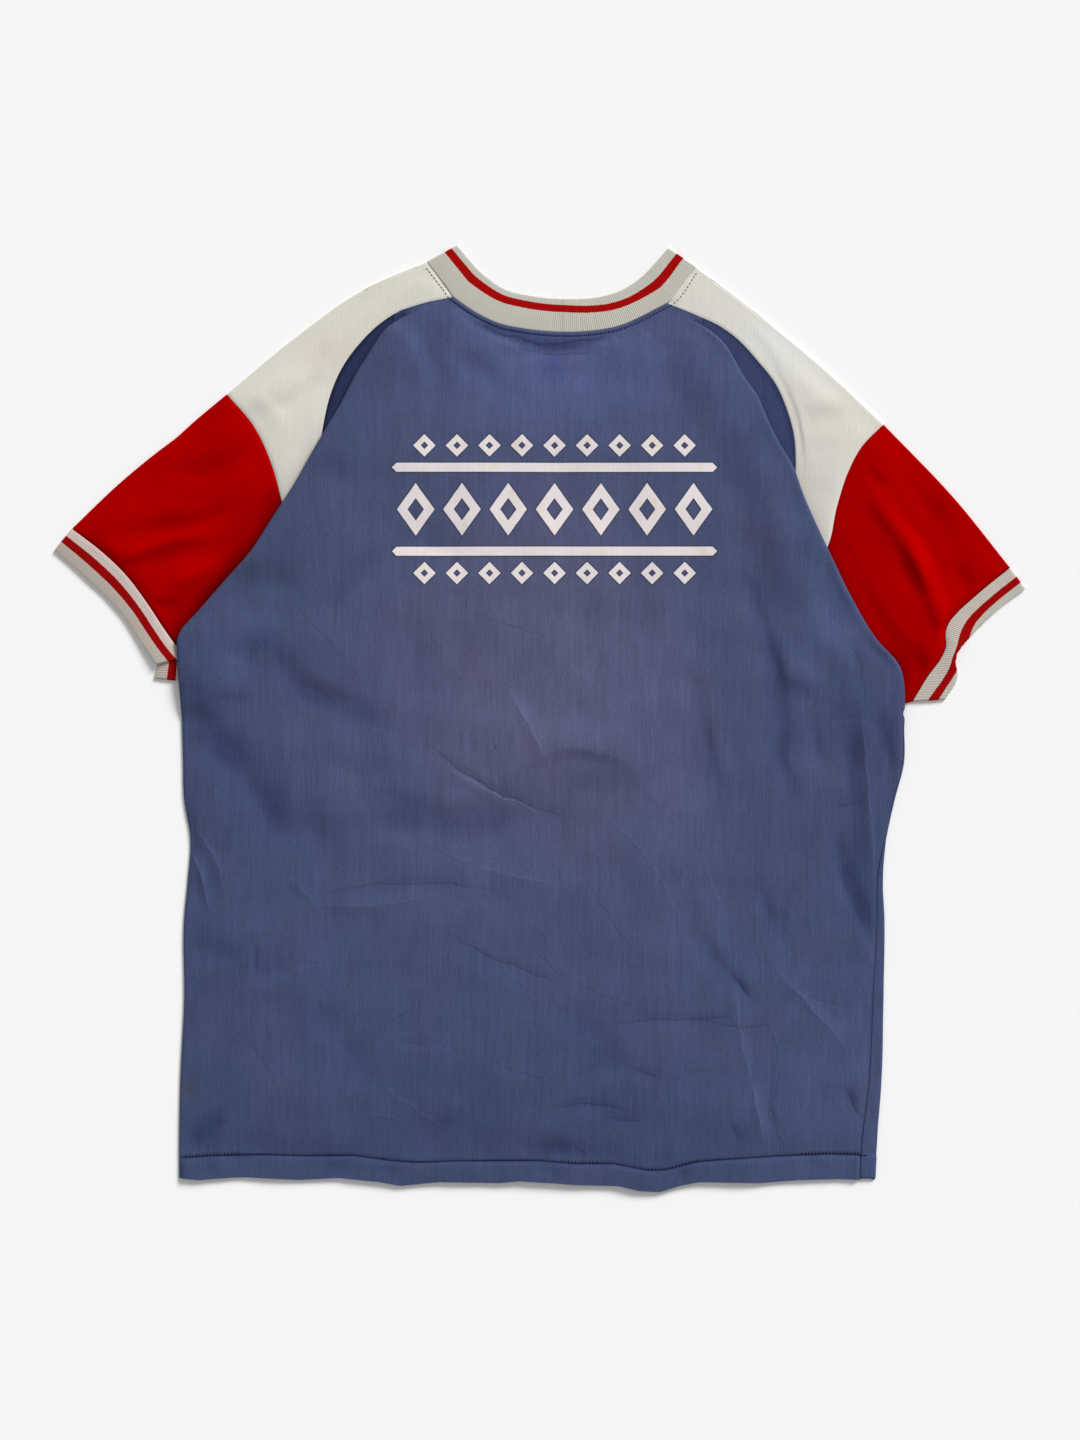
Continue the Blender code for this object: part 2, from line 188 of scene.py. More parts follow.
backNeck = [
    (-66, 379), (-56.4, 367.6), (-49.2, 359.6), (-39.6, 351.6), (-26.8, 343.6), (-10, 339.4),
    (20, 336.4), (54.8, 339.6), (66, 343.6), (78.8, 351.6), (87.6, 359.6), (94.8, 367.6),
    (103, 377),
]
frontNeck = [
    (-66, 379), (-66, 345), (-56, 312), (-30, 286), (17, 275), (63, 286), (88, 312), (101, 345),
    (103, 377),
]
frontNeckSeam = [
    (-93, 333), (-78, 292), (-40, 258), (16, 246), (70, 258), (108, 290), (123, 324),
]
# How far the back's first rows move up to follow the neck seam.
neckFit = table(
    "x lift",
    (-69, 0), (-52, -2.2), (-34, -0.7), (-16, 1.8), (4, 3.4), (20, 4.2), (36, 4.7), (52, 4.7),
    (68, 3.8), (83, 2.2), (102, 1.2),
)

# Creases: height in the middle (a trough is negative), then the width of the slope to the left
# and to the right of the path, all in millimetres.
creaseColumns = "height left right path"
backCreases = table(
    creaseColumns,
    (-3, 8, 3.5, [(-52, 317), (-36, 310), (-16, 303.6), (14, 298.8), (40, 301), (60, 308)]),
    (-0.9, 4, 5, [(-14, 297), (14, 291.5), (42, 293)]),
    (1, 8, 14, [(-40, 300), (-8, 292), (28, 290), (64, 294), (88, 304)]),
    (-0.8, 7, 9, [(-76, 296), (-57, 284), (-34, 271), (-4, 253)]),
    (-0.7, 8, 10, [(-96, 300), (-80, 278), (-70, 256)]),
    (-0.6, 9, 9, [(80, 300), (120, 294), (146, 278)]),
    (0.7, 8, 8, [(-68, 312), (-48, 298), (-28, 284)]),
    (-1, 8, 8, [(-241, 104), (-222, 116), (-192, 107)]),
    (-0.9, 10, 10, [(-187, 83), (-164, 102), (-143, 122), (-118, 137)]),
    (-0.8, 10, 10, [(-192, 192), (-168, 200), (-150, 187)]),
    (-0.8, 12, 12, [(-113, 160), (-88, 140), (-56, 131)]),
    (-1.8, 13, 13, [(-222, 52), (-189, 25), (-160, 8), (-128, 0)]),
    (-2.3, 16, 14, [(-278, 24), (-268, -2), (-251, -26), (-226, -59), (-210, -77), (-181, -92)]),
    (1.2, 18, 18, [(-192, -32), (-168, -58), (-134, -93), (-96, -112)]),
    (-1.6, 12, 20, [(-156, -65), (-116, -69), (-69, -79), (-18, -80), (16, -82)]),
    (-0.7, 9, 9, [(-173, -36), (-148, -43), (-118, -38)]),
    (-0.9, 2.6, 4, [(-80, -28), (-62, -41), (-40, -55), (-18, -65), (15, -77)]),
    (0.7, 3, 4, [(-70, -41), (-45, -56), (-25, -65), (4, -74)]),
    (0.7, 3, 5, [(-22, 20), (-10, -2), (3, -30)]),
    (1.7, 34, 6, [(-40, -53), (-16, -39), (11, -25), (49, -24), (74, -36), (85, -53)]),
    (0.9, 2.6, 3, [(-282, -103), (-270, -126), (-264, -154)]),
    (0.6, 3, 3, [(-274, -90), (-256, -120), (-253, -136)]),
    (0.4, 2.5, 3, [(-197, -129), (-188, -137), (-180, -148)]),
    (-0.6, 2.6, 8, [(-174, -140), (-134, -133), (-100, -130), (-41, -136)]),
    (0.55, 7, 2.6, [(-174, -149), (-124, -150), (-104, -143), (-80, -140)]),
    (0.45, 3, 3, [(-51, -119), (-12, -127), (10, -132)]),
    (-0.7, 4, 9, [(-65, -177), (-38, -193), (-12, -200), (18, -211)]),
    (-0.4, 2.6, 3, [(-110, -257), (-100, -259), (-88, -259)]),
    (-0.5, 3, 3, [(-228, -184), (-227, -194), (-228, -204)]),
    (-0.9, 12, 12, [(-280, -172), (-263, -184), (-243, -194), (-214, -198), (-189, -211)]),
    (0.8, 12, 12, [(-206, -215), (-177, -200), (-156, -190)]),
    (-0.8, 14, 14, [(-192, -232), (-156, -256), (-134, -287)]),
    (-1.6, 8, 8, [(-254, -312), (-267, -326), (-283, -339)]),
    (-0.8, 10, 10, [(-102, -339), (-86, -330), (-68, -324)]),
    (-1.9, 6, 11, [(168, 108), (175, 86), (182, 62), (190, 37), (194, -2), (192, -34), (202, -52)]),
    (-1.2, 8, 8, [(189, 24), (204, 24), (220, 18)]),
    (-1.1, 6, 9, [(126, 25), (131, -4), (136, -39), (141, -64)]),
    (0.9, 3, 3, [(256, 17), (261, -19), (262, -51), (264, -88), (268, -128)]),
    (-1.6, 8, 6, [(247, -2), (250, -40), (252, -76)]),
    (-1.4, 6, 6, [(270, 8), (277, -20), (283, -44)]),
    (-0.9, 5, 5, [(262, 62), (272, 54), (282, 46)]),
    (-0.7, 3, 4, [(250, 60), (256, 40), (258, 20)]),
    (-0.9, 6, 6, [(216, 4), (220, -22), (234, -44)]),
    (-0.6, 4, 6, [(236, -74), (244, -69), (255, -66)]),
    (-2.4, 9, 5, [(237, -112), (245, -135), (255, -154), (263, -176)]),
    (-0.9, 8, 8, [(239, -76), (237, -96), (242, -114)]),
    (-1.1, 7, 9, [(120, -156), (131, -181), (148, -204), (166, -222)]),
    (-0.8, 5, 6, [(177, -133), (182, -152), (183, -170)]),
    (-0.6, 5, 5, [(196, -148), (194, -167), (202, -184)]),
    (-1, 2.6, 4, [(155, -205), (160, -212), (168, -222)]),
    (0.65, 3.5, 3, [(155, -215), (159, -242), (164, -269), (168, -290)]),
    (0.8, 3, 3.5, [(170, -292), (174, -311), (179, -338)]),
    (-0.6, 3, 5, [(63, -244), (95, -240), (113, -240), (138, -242)]),
    (-0.5, 3, 4, [(122, -244), (133, -239), (148, -239)]),
    (-0.7, 3, 4, [(190, -272), (187, -293), (182, -306), (192, -335)]),
    (0.6, 4, 4, [(192, -204), (212, -224), (244, -261)]),
    (-0.6, 2.6, 4, [(72, -279), (87, -285), (95, -286)]),
    (-0.8, 2.8, 5, [(8, -313), (25, -308), (50, -309), (68, -315)]),
    (-0.7, 2.8, 4, [(55, -319), (69, -321), (85, -320)]),
    (-0.9, 4, 5, [(244, -296), (250, -306), (256, -317)]),
    (-0.5, 4, 4, [(153, -322), (156, -330), (158, -340)]),
    (0.7, 9, 9, [(42, -298), (58, -288), (72, -280)]),
    (-1.4, 8, 6, [(-4, -344), (16, -344), (40, -346)]),
    (-0.6, 14, 14, [(80, 128), (88, 88), (80, 48)]),
    (1.1, 18, 36, [(94, 96), (98, 30), (100, -60), (102, -200), (104, -336)]),
    (-0.8, 16, 16, [(48, -128), (88, -148), (106, -192)]),
    (-0.7, 14, 14, [(-112, 64), (-88, 24), (-92, -16)]),
    (0.8, 18, 18, [(120, -104), (132, -144), (128, -192)]),
    (-0.7, 12, 12, [(16, -232), (48, -260), (58, -296)]),
    (-0.8, 12, 12, [(224, 128), (239, 96), (256, 64)]),
    (-0.7, 6, 6, [(-261, -350), (-262, -358), (-262, -366)]),
    (-0.8, 8, 8, [(-168, -350), (-166, -358), (-162, -366)]),
    (-0.8, 7, 7, [(-121, -354), (-118, -362), (-112, -371)]),
    (-0.7, 7, 7, [(6, -354), (12, -362), (18, -370)]),
    (-0.7, 8, 7, [(112, -358), (114, -366), (118, -371)]),
    (-0.6, 7, 7, [(214, -350), (219, -358), (220, -366)]),
)
leftShoulderCreases = table(
    creaseColumns,
    (-0.9, 9, 9, [(-222, 241), (-192, 259), (-169, 278)]),
    (0.8, 9, 9, [(-214, 254), (-188, 272), (-168, 291)]),
    (-0.8, 8, 8, [(-198, 206), (-188, 224), (-176, 236)]),
    (-0.7, 9, 9, [(-168, 300), (-145, 323), (-118, 342)]),
    (0.6, 6, 8, [(-232, 262), (-217, 252), (-206, 236)]),
)
rightShoulderCreases = table(
    creaseColumns,
    (-0.4, 8, 8, [(207, 232), (224, 240), (242, 249)]),
    (0.8, 8, 9, [(213, 243), (232, 254), (253, 259)]),
    (-0.4, 8, 8, [(222, 192), (228, 180), (233, 169)]),
    (-0.5, 8, 8, [(156, 321), (176, 300), (198, 276)]),
    (-0.4, 7, 7, [(213, 212), (226, 216), (239, 224)]),
)
leftSleeveCreases = table(
    creaseColumns,
    (-1.2, 8, 9, [(-352, 145), (-312, 152), (-272, 159), (-240, 173)]),
    (-1.2, 7, 8, [(-342, 119), (-300, 131), (-262, 139)]),
    (1, 10, 10, [(-336, 131), (-300, 141), (-260, 150)]),
    (-1, 4, 7, [(-312, 93), (-300, 91), (-286, 92)]),
    (-0.9, 9, 9, [(-304, 200), (-268, 201), (-232, 209)]),
    (1.2, 9, 9, [(-300, 108), (-268, 116), (-244, 128)]),
    (-1.2, 8, 8, [(-275, 88), (-254, 112), (-230, 140)]),
)
rightSleeveCreases = table(
    creaseColumns,
    (2.6, 8, 6, [(271, 172), (290, 143), (304, 121), (316, 94), (325, 67)]),
    (-0.7, 3, 4, [(263, 200), (269, 192), (279, 187)]),
    (-1.2, 7, 7, [(292, 64), (300, 48), (308, 28)]),
    (-0.9, 5, 6, [(282, 60), (290, 44), (297, 28)]),
    (1.2, 9, 9, [(249, 104), (263, 80), (276, 57)]),
    (-1, 10, 10, [(292, 200), (316, 168), (338, 137)]),
    (-0.9, 9, 9, [(336, 128), (341, 112), (346, 99)]),
)
# Broad unevenness of cloth that was only patted flat.
swells = table(
    "height wavelength bearing phase",
    (0.6, 150, 20, 0.4), (0.5, 118, 105, 2.1), (0.35, 83, 62, 4.0), (0.28, 64, 150, 1.2),
    (0.2, 47, 8, 5.1), (0.15, 39, 80, 3.3),
)


def smooth(share):
    share = np.clip(share, 0, 1)
    return share * share * (3 - 2 * share)


def swelling(share):
    # Rises quickly from an edge and then levels out.
    return 1 - (1 - np.clip(share, 0, 1)) ** 3


def bell(distance, width):
    # 1 on a line, and fading away beside it.
    return np.exp(-((distance / width) ** 2))


def layerHeight(layer):
    return firstLayer + (layer - 1) * layerPitch


def column(rows, name):
    return np.array([row[name] for row in rows], float)


def seamPoints(edge):
    return np.array([(row["x"], row["y"]) for row in edge], float)


def curveAt(start, leave, end, arrive, t):
    # A point on the smooth curve between two ends with given directions.
    return (
        (2 * t**3 - 3 * t**2 + 1) * start
        + (t**3 - 2 * t**2 + t) * leave
        + (3 * t**2 - 2 * t**3) * end
        + (t**3 - t**2) * arrive
    )


def along(points):
    steps = np.linalg.norm(np.diff(points, axis=0), axis=1)
    return np.concatenate([[0], np.cumsum(steps)])


def through(values, spots, at):
    # Values on a smooth line through known ones. spots: where those are. at: where to read it.
    slopes = np.gradient(values, spots, axis=0)
    low = np.clip(np.searchsorted(spots, at, side="right") - 1, 0, len(spots) - 2)
    step = (spots[low + 1] - spots[low])[:, None]
    t = (at - spots[low])[:, None] / step
    return curveAt(values[low], slopes[low] * step, values[low + 1], slopes[low + 1] * step, t)


def lineAt(points, shares):
    known = np.array(points, float)
    spots = along(known)
    return through(known, spots, np.asarray(shares) * spots[-1])


def line(points, count):
    return lineAt(points, np.linspace(0, 1, count))


def patch(starts, ends, first, last, across):
    # Rows of points between two side lines. The first and last rows follow given lines.
    across = np.asarray(across)[:, None]
    bends = [row - (row[0] + across * (row[-1] - row[0])) for row in (first, last)]
    down = along(np.array(starts) + np.array(ends))
    down = down / down[-1]
    rows = [
        start + across * (end - start) + (1 - v) * bends[0] + v * bends[1]
        for start, end, v in zip(starts, ends, down)
    ]
    return np.array(rows)


def raised(plan, height):
    heights = np.broadcast_to(np.asarray(height, float), plan.shape[:-1])
    return np.concatenate([plan, heights[..., None]], axis=-1)


def stepped(corners, towards, distance):
    step = towards - corners
    length = np.maximum(np.linalg.norm(step, axis=-1, keepdims=True), 1e-9)
    return corners + step * np.minimum(distance, 0.45 * length) / length


def distanceTo(plan, path):
    # The distance of every point to a path, which side it lies on and how far along it is.
    spots = plan.reshape(-1, 2)
    start, step = path[:-1], np.diff(path, axis=0)
    length = np.linalg.norm(step, axis=1)
    offset = spots[:, None] - start[None]
    t = np.clip((offset * step).sum(-1) / length**2, 0, 1)
    gap = np.linalg.norm(offset - t[..., None] * step, axis=-1)
    nearest = gap.argmin(axis=1)
    pick = np.arange(len(spots)), nearest
    side = step[nearest, 0] * offset[pick][:, 1] - step[nearest, 1] * offset[pick][:, 0]
    reached = along(path)[nearest] + t[pick] * length[nearest]
    shape = plan.shape[:-1]
    share = reached / length.sum()
    return gap[pick].reshape(shape), side.reshape(shape), share.reshape(shape)


# The creases were measured on the flat side, so all of them stand a little higher. fade: how
# they thin out at their ends. The wide ones waver by a share of their width and of their depth.
# Each waver is a wave whose phase at a point is x and y divided by two lengths.
creaseForm = {
    "fullness": 1.5,
    "reach": 2.6,
    "fade": {"from": 0.04, "power": 0.6},
    "wide": 4.5,
    "aside": {"share": 0.13, "x": ((7, 12), (-31, 19)), "y": ((13, -8), (23, 29))},
    "depth": {"share": 0.28, "wave": (11, -14)},
}


def creaseHeight(plan, creases):
    aside, depths, fade = creaseForm["aside"], creaseForm["depth"], creaseForm["fade"]
    total = np.zeros(plan.shape[:-1])
    for crease in creases:
        path = line(crease["path"], 4 * len(crease["path"]))
        widths = crease["left"], crease["right"]
        reach = creaseForm["reach"] * max(widths)
        near = ((plan > path.min(0) - reach) & (plan < path.max(0) + reach)).all(-1)
        if not near.any():
            continue
        spots = plan[near]
        depth = 1
        if min(widths) > creaseForm["wide"]:
            x, y = spots.T
            moved = [sum(np.sin(x / a + y / b) for a, b in aside[axis]) for axis in ("x", "y")]
            spots = spots + np.stack(moved, axis=-1) * aside["share"] * min(widths)
            a, b = depths["wave"]
            depth = 1 + depths["share"] * np.sin(x / a + y / b + crease["left"])
        gap, side, share = distanceTo(spots, path)
        share = np.clip(share, fade["from"], 1 - fade["from"])
        ends = np.sin(math.pi * share) ** fade["power"]
        total[near] += crease["height"] * depth * ends * bell(gap, np.where(side > 0, *widths))
    return total * creaseForm["fullness"]


def swellHeight(plan):
    total = np.zeros(plan.shape[:-1])
    for swell in swells:
        bearing = math.radians(swell["bearing"])
        reach = plan[..., 0] * math.cos(bearing) + plan[..., 1] * math.sin(bearing)
        total += swell["height"] * np.sin(reach * 2 * math.pi / swell["wavelength"] + swell["phase"])
    return total


# The fine rows of the back and front panels, as fractional rows of the edge tables.
panelRows = {
    "step": 3.8,
    "upperStep": 6.2,
    "neck": [0, 0.03, 0.06, 0.09, 0.12, 0.15, 0.18, 0.22, 0.27, 0.33, 0.4, 0.5, 0.6, 0.72, 0.86],
    "hem": [
        0, 0.1, 0.2, 0.28, 0.32, 0.345, 0.36, 0.375, 0.395, 0.44, 0.52, 0.62, 0.72, 0.82, 0.9,
        0.95, 0.98, 1,
    ],
}


def fineRows():
    steps = np.max([np.diff(along(seamPoints(edge))) for edge in (leftEdge, rightEdge)], axis=0)
    found = list(panelRows["neck"])
    for i in range(1, len(steps) - 1):
        step = panelRows["upperStep" if i < underarmRow else "step"]
        count = max(2, round(steps[i] / step))
        found += [i + k / count for k in range(count)]
    return np.array(found + [len(steps) - 1 + share for share in panelRows["hem"]])


# How much higher than flat the folds at the armholes stand.
foldFullness = {"mid": 0.9, "top": 2.4}


def edgeRows(edge, rows):
    # The columns of an edge table, read at fractional rows.
    spots = along(seamPoints(edge))
    at = np.interp(rows, np.arange(len(edge)), spots)
    names = ("x", "y", "lean", "fold", "tuck", "run")
    values = through(np.array([[row[name] for name in names] for row in edge], float), spots, at)
    found = dict(zip(names, values.T))
    for name in ("low", "mid", "top"):
        found[name] = layerHeight(np.interp(rows, np.arange(len(edge)), column(edge, name)))
    shelf = np.interp(rows, underarmShelf["row"], underarmShelf["width"])
    found["shelf"] = shelf if edge is rightEdge else 0 * shelf
    full = np.clip((found["top"] - found["low"]) / layerPitch - 1, 0, 1)
    found["mid"] += foldFullness["mid"] * full
    found["top"] += foldFullness["top"] * full
    return found


def seamAt(edge, rows):
    found = edgeRows(edge, rows)
    return np.stack([found["x"], found["y"]], axis=-1)


def hemShift(x, y):
    # How far the uneven hem moves a point of the panels up or down.
    stitch, bottom = np.array(hem["stitch"]), np.array(hem["bottom"])
    toStitch = np.interp(x, stitch[:, 0], stitch[:, 1]) - hem["stitchRow"]
    toBottom = np.interp(x, bottom[:, 0], bottom[:, 1]) - hem["bottomRow"]
    above = smooth((hem["waveTop"] - y) / (hem["waveTop"] - hem["stitchRow"]))
    below = np.clip((hem["stitchRow"] - y) / (hem["stitchRow"] - hem["bottomRow"]), 0, 1)
    return np.where(y > hem["stitchRow"], toStitch * above, toStitch + below * (toBottom - toStitch))


# How the back panel lies: its sections near the edges and how it swells between them.
backPanel = {
    "innerColumns": 156,
    "hiddenPoints": 5,
    "topPoints": 17,
    "ridge": 8,
    "rowPull": 0.85,
    "loft": 3.2,
    "loftRun": 60,
    "lowest": 1.6,
    "hemRise": 1.2,
    "stitchDip": 1.0,
    "wall": 0.9,
    "hemWall": 1.9,
    # Near the edges: how full a turned fold is, where the top starts and how its points bunch.
    "turnSlack": 0.12,
    "topStart": 0.8,
    "bunching": 1.5,
    # How far in from an edge the creases begin, and how far from the collar and the hem the
    # cloth rises to its loft.
    "creaseRun": 9,
    "collarRun": 18,
    "hemRun": 70,
}


def inFrom(rows, inward, distances):
    # Points at given distances in from a seam, each along its own leaning row.
    lean = np.radians(rows["lean"])
    way = np.stack([inward * np.cos(lean), -np.sin(lean)], axis=-1)
    seam = np.stack([rows["x"], rows["y"]], axis=-1)
    return seam[:, None] + way[:, None] * distances[..., None]


def edgeSection(rows, inward):
    # Every row near one edge: seam, hidden turn, fold edge, and the top on its way to rest.
    # depth: how far a point of the top lies in from the visible edge. ground: how low its
    # creases may reach.
    fold, tuck, low, mid, top = (rows[name] for name in ("fold", "tuck", "low", "mid", "top"))
    folded = smooth((top - low) / 0.8 - 0.3)
    ridge = np.maximum(fold, tuck) + backPanel["ridge"] + rows["shelf"]
    distances, heights, depths = [], [], []

    def place(distance, height, depth):
        distances.append(distance)
        heights.append(height)
        depths.append(depth)

    def stretch(start, end, height):
        for share in np.linspace(0, 1, backPanel["hiddenPoints"] + 2)[1:-1]:
            distance = start + share * (end - start)
            place(distance, height, (1 - folded) * distance - folded)

    def turn(at, came, goes, below, above):
        radius = (above - below) / 2
        slack = backPanel["turnSlack"] * (1 - np.clip(above - below, 0, 1))
        for k, angle in enumerate(-turnAngles[1:-1]):
            distance = at + slack * (k - 2) * goes - came * radius * (1 - math.cos(angle))
            place(distance, (below + above) / 2 + radius * math.sin(angle), (1 - folded) * distance)

    def sign(value):
        return np.clip(value / 1.5, -1, 1)

    start = np.copysign(seamInset, tuck)
    place(start, low, (1 - folded) * start - folded)
    stretch(start, tuck, low)
    turn(tuck, sign(tuck), sign(fold - tuck), low, mid)
    stretch(tuck, fold, mid)
    turn(fold, sign(fold - tuck), 1, mid, top)
    run = ridge + rows["run"] - fold - backPanel["topStart"]
    for share in np.linspace(0, 1, backPanel["topPoints"] + 1)[1:] ** backPanel["bunching"]:
        distance = fold + backPanel["topStart"] + share * run
        sink = smooth((distance - ridge) / rows["run"])
        place(distance, top + sink * (layerHeight(2) - top), distance - folded * fold)
    distances = np.array(distances).T
    seamGap = np.abs(distances)
    seamGap[:, backPanel["hiddenPoints"] + 1 :] = backPanel["loftRun"]
    over = smooth((np.maximum(fold, tuck)[:, None] + 3 - distances) / 3) * folded[:, None]
    return {
        "plan": inFrom(rows, inward, distances),
        "height": np.array(heights).T,
        "depth": np.array(depths).T,
        "seamGap": seamGap,
        "ground": backPanel["lowest"] + over * (mid[:, None] + 0.95 - backPanel["lowest"]),
    }


def backPlan(rows):
    # The whole back: its plan, its heights before the creases, and their room.
    left = edgeSection(edgeRows(leftEdge, rows), 1)
    right = edgeSection(edgeRows(rightEdge, rows), -1)
    start, end = left["plan"][:, -1], right["plan"][:, -1]
    leave, arrive = start - left["plan"][:, -2], right["plan"][:, -2] - end
    pull = np.linalg.norm(end - start, axis=1, keepdims=True) * backPanel["rowPull"]
    leave *= pull / np.linalg.norm(leave, axis=1, keepdims=True)
    arrive *= pull / np.linalg.norm(arrive, axis=1, keepdims=True)
    steps = np.linspace(0, 1, backPanel["innerColumns"] + 2)[1:-1]
    middle = np.stack([curveAt(start, leave, end, arrive, t) for t in steps], axis=1)
    whole = np.ones(middle.shape[:2])
    inner = {
        "plan": middle,
        "height": whole * layerHeight(2),
        "depth": whole * backPanel["loftRun"] * 2,
        "seamGap": whole * backPanel["loftRun"] * 2,
        "ground": whole * backPanel["lowest"],
    }
    found = {
        name: np.concatenate([left[name], inner[name], right[name][:, ::-1]], axis=1)
        for name in inner
    }
    plan = found["plan"]
    lift = np.interp(plan[..., 0], column(neckFit, "x"), column(neckFit, "lift"))
    plan[..., 1] += lift * (1 - smooth(rows / 2.5))[:, None]
    plan[..., 1] += hemShift(plan[..., 0], plan[..., 1])
    return found


panelAt = fineRows()
back = backPlan(panelAt)

# The collar's seam on the back, along the two white pieces and the back panel.
collarSeam = np.concatenate([
    line([leftArm["neckFold"], (-79, 352), back["plan"][0, 0]], 10)[:-1],
    back["plan"][0],
    line([back["plan"][0, -1], (113, 346.5), rightArm["neckFold"]], 10)[1:],
])
collarGuide = np.concatenate([collarSeam[:-4:6], collarSeam[-1:]])
collarLine = lineAt(collarGuide, np.linspace(0, 1, 90))


# The ridge of the collar's seam allowance, its line of stitches and the seam itself: how high or
# low each stands, how far from the seam it lies and how wide it is.
neckSeam = table("height at wide", (0.55, 1.632, 1.428), (-0.45, 3.4, 0.7), (-0.4, 0, 0.6))


def neckBand(plan):
    # The seam allowance round the collar, held down by a line of stitches.
    gap = distanceTo(plan, collarLine)[0]
    return sum(part["height"] * bell(gap - part["at"], part["wide"]) for part in neckSeam), gap


def aboveStitch(plan):
    # How far a point of a panel lies above the hem's line of stitches.
    stitch = np.array(hem["stitch"])
    return plan[..., 1] - np.interp(plan[..., 0], stitch[:, 0], stitch[:, 1])


# How much darker the cloth is painted where little light comes in: the layer under each armhole's fold,
# the hem's line of stitches, the seams, and every millimetre of a trough's depth. Ridges are painted a
# little lighter, down to brightest.
backShade = {
    "under": (0.58, 0.28),
    "hem": 0.65,
    "seam": 0.4,
    "lineWidth": 1.1,
    "trough": 0.07,
    "deepest": 0.4,
    "brightest": -0.06,
}


def creaseShade(creased):
    return np.clip(-creased * backShade["trough"], backShade["brightest"], backShade["deepest"])


def backSheet():
    plan, depth, rest = back["plan"], back["depth"], back["height"]
    band, gap = neckBand(plan)
    toStitch = aboveStitch(plan)
    clear = swelling((gap - 4) / backPanel["collarRun"])
    loft = swelling(depth / backPanel["loftRun"]) * clear
    loft *= swelling((toStitch - 1) / backPanel["hemRun"])
    inside = smooth(depth / backPanel["creaseRun"])
    creased = creaseHeight(plan, backCreases) * inside
    relief = creased + swellHeight(plan) * clear * inside
    height = rest + loft * backPanel["loft"]
    height += relief * smooth((gap - 3) / 6)
    height += band * smooth(depth / 3)
    inHem = smooth((6 - toStitch) / 10) * smooth(depth / 4)
    height += backPanel["hemRise"] * inHem
    height -= backPanel["stitchDip"] * bell(toStitch, 1.3) * smooth(depth / 2)
    height = np.maximum(height, np.minimum(rest, back["ground"]))
    sheet = raised(plan, np.where(depth < 0, rest, height))
    sheet[0, :, 1] -= seamInset
    side = np.where(np.arange(plan.shape[1]) < plan.shape[1] / 2, *backShade["under"])
    shade = np.where(depth < 0, side, creaseShade(creased))
    shade += backShade["hem"] * bell(toStitch, backShade["lineWidth"]) * smooth(depth / 2)
    shade += backShade["seam"] * bell(back["seamGap"], backShade["lineWidth"])
    return sheet, smooth((1 - toStitch) / 2) * smooth(depth / 3), shade


def turnedOver(edge, inner, above, below):
    # The columns round a fold, from the layer above to the one below.
    radius = (above - below) / 2
    way = edge - inner
    way = way / np.maximum(np.linalg.norm(way, axis=1, keepdims=True), 1e-6)
    columns = [
        raised(
            edge - way * (radius * (1 - math.cos(angle)))[:, None],
            (above + below) / 2 + radius * math.sin(angle),
        )
        for angle in turnAngles
    ]
    return np.stack(columns, axis=1)


def foldedOver(*layers):
    # Layers of one cloth. Each starts on the line where the one before it turned over.
    columns = [layers[0][:, :1]]
    for upper, lower in zip(layers, layers[1:]):
        columns.append(upper[:, 1:-1])
        edge = upper[:, -1]
        columns.append(turnedOver(edge[:, :2], upper[:, -3, :2], edge[:, 2], lower[:, 0, 2]))
    return np.concatenate([*columns, layers[-1][:, 1:]], axis=1)


def foldedTube(*layers):
    # A flattened tube, which also turns over from its last layer to its first.
    around = foldedOver(*layers)[:, 1:-1]
    edge = layers[0][:, 0]
    turn = turnedOver(edge[:, :2], layers[0][:, 2, :2], edge[:, 2], layers[-1][:, -1, 2])
    half = len(turnAngles) // 2
    return np.concatenate([turn[:, half::-1], around, turn[:, : half - 1 : -1]], axis=1)


def drawnBack(sheet, ends):
    # The given end rows, moved off the seam line towards their inner neighbours.
    for end in ends:
        inner = 1 if end == 0 else end - 1
        sheet[end] = stepped(sheet[end], sheet[inner], seamInset)
    return sheet


def evenRows(edge, first, last, count):
    # Fractional rows at equal steps along a seam.
    spots = along(seamPoints(edge))
    return np.interp(np.linspace(spots[first], spots[last], count), spots, np.arange(len(edge)))


frontPanel = {"columns": 64, "firstRow": 2, "wrapPoints": 4, "hemStep": 1.0, "hemLift": 0.55}


def wrappedStrip(at):
    # The front panel's wrap over the right side, in from the outline on the back.
    seam = seamAt(rightEdge, at)
    wrap = np.interp(at, column(sideWrap, "row"), column(sideWrap, "wrap"))
    outer = seam[:, 0] + wrap
    y = seam[:, 1] + hemShift(outer, seam[:, 1])
    outline = np.stack([outer, y], axis=-1)
    starts, inner = outline - (2, 0), outline - ((wrap - seamInset)[:, None] * (1, 0))
    level = np.full(len(at), 1.0)
    turn = turnedOver(outline, starts, level * layerHeight(2), level * layerHeight(1))
    shares = np.linspace(0, 1, frontPanel["wrapPoints"] + 1)[1:, None, None]
    top = turn[:, 0, :2] + shares * (inner - turn[:, 0, :2])
    top = raised(top, layerHeight(2)).swapaxes(0, 1)
    return raised(starts, layerHeight(1)), np.concatenate([turn[:, ::-1], top], axis=1)


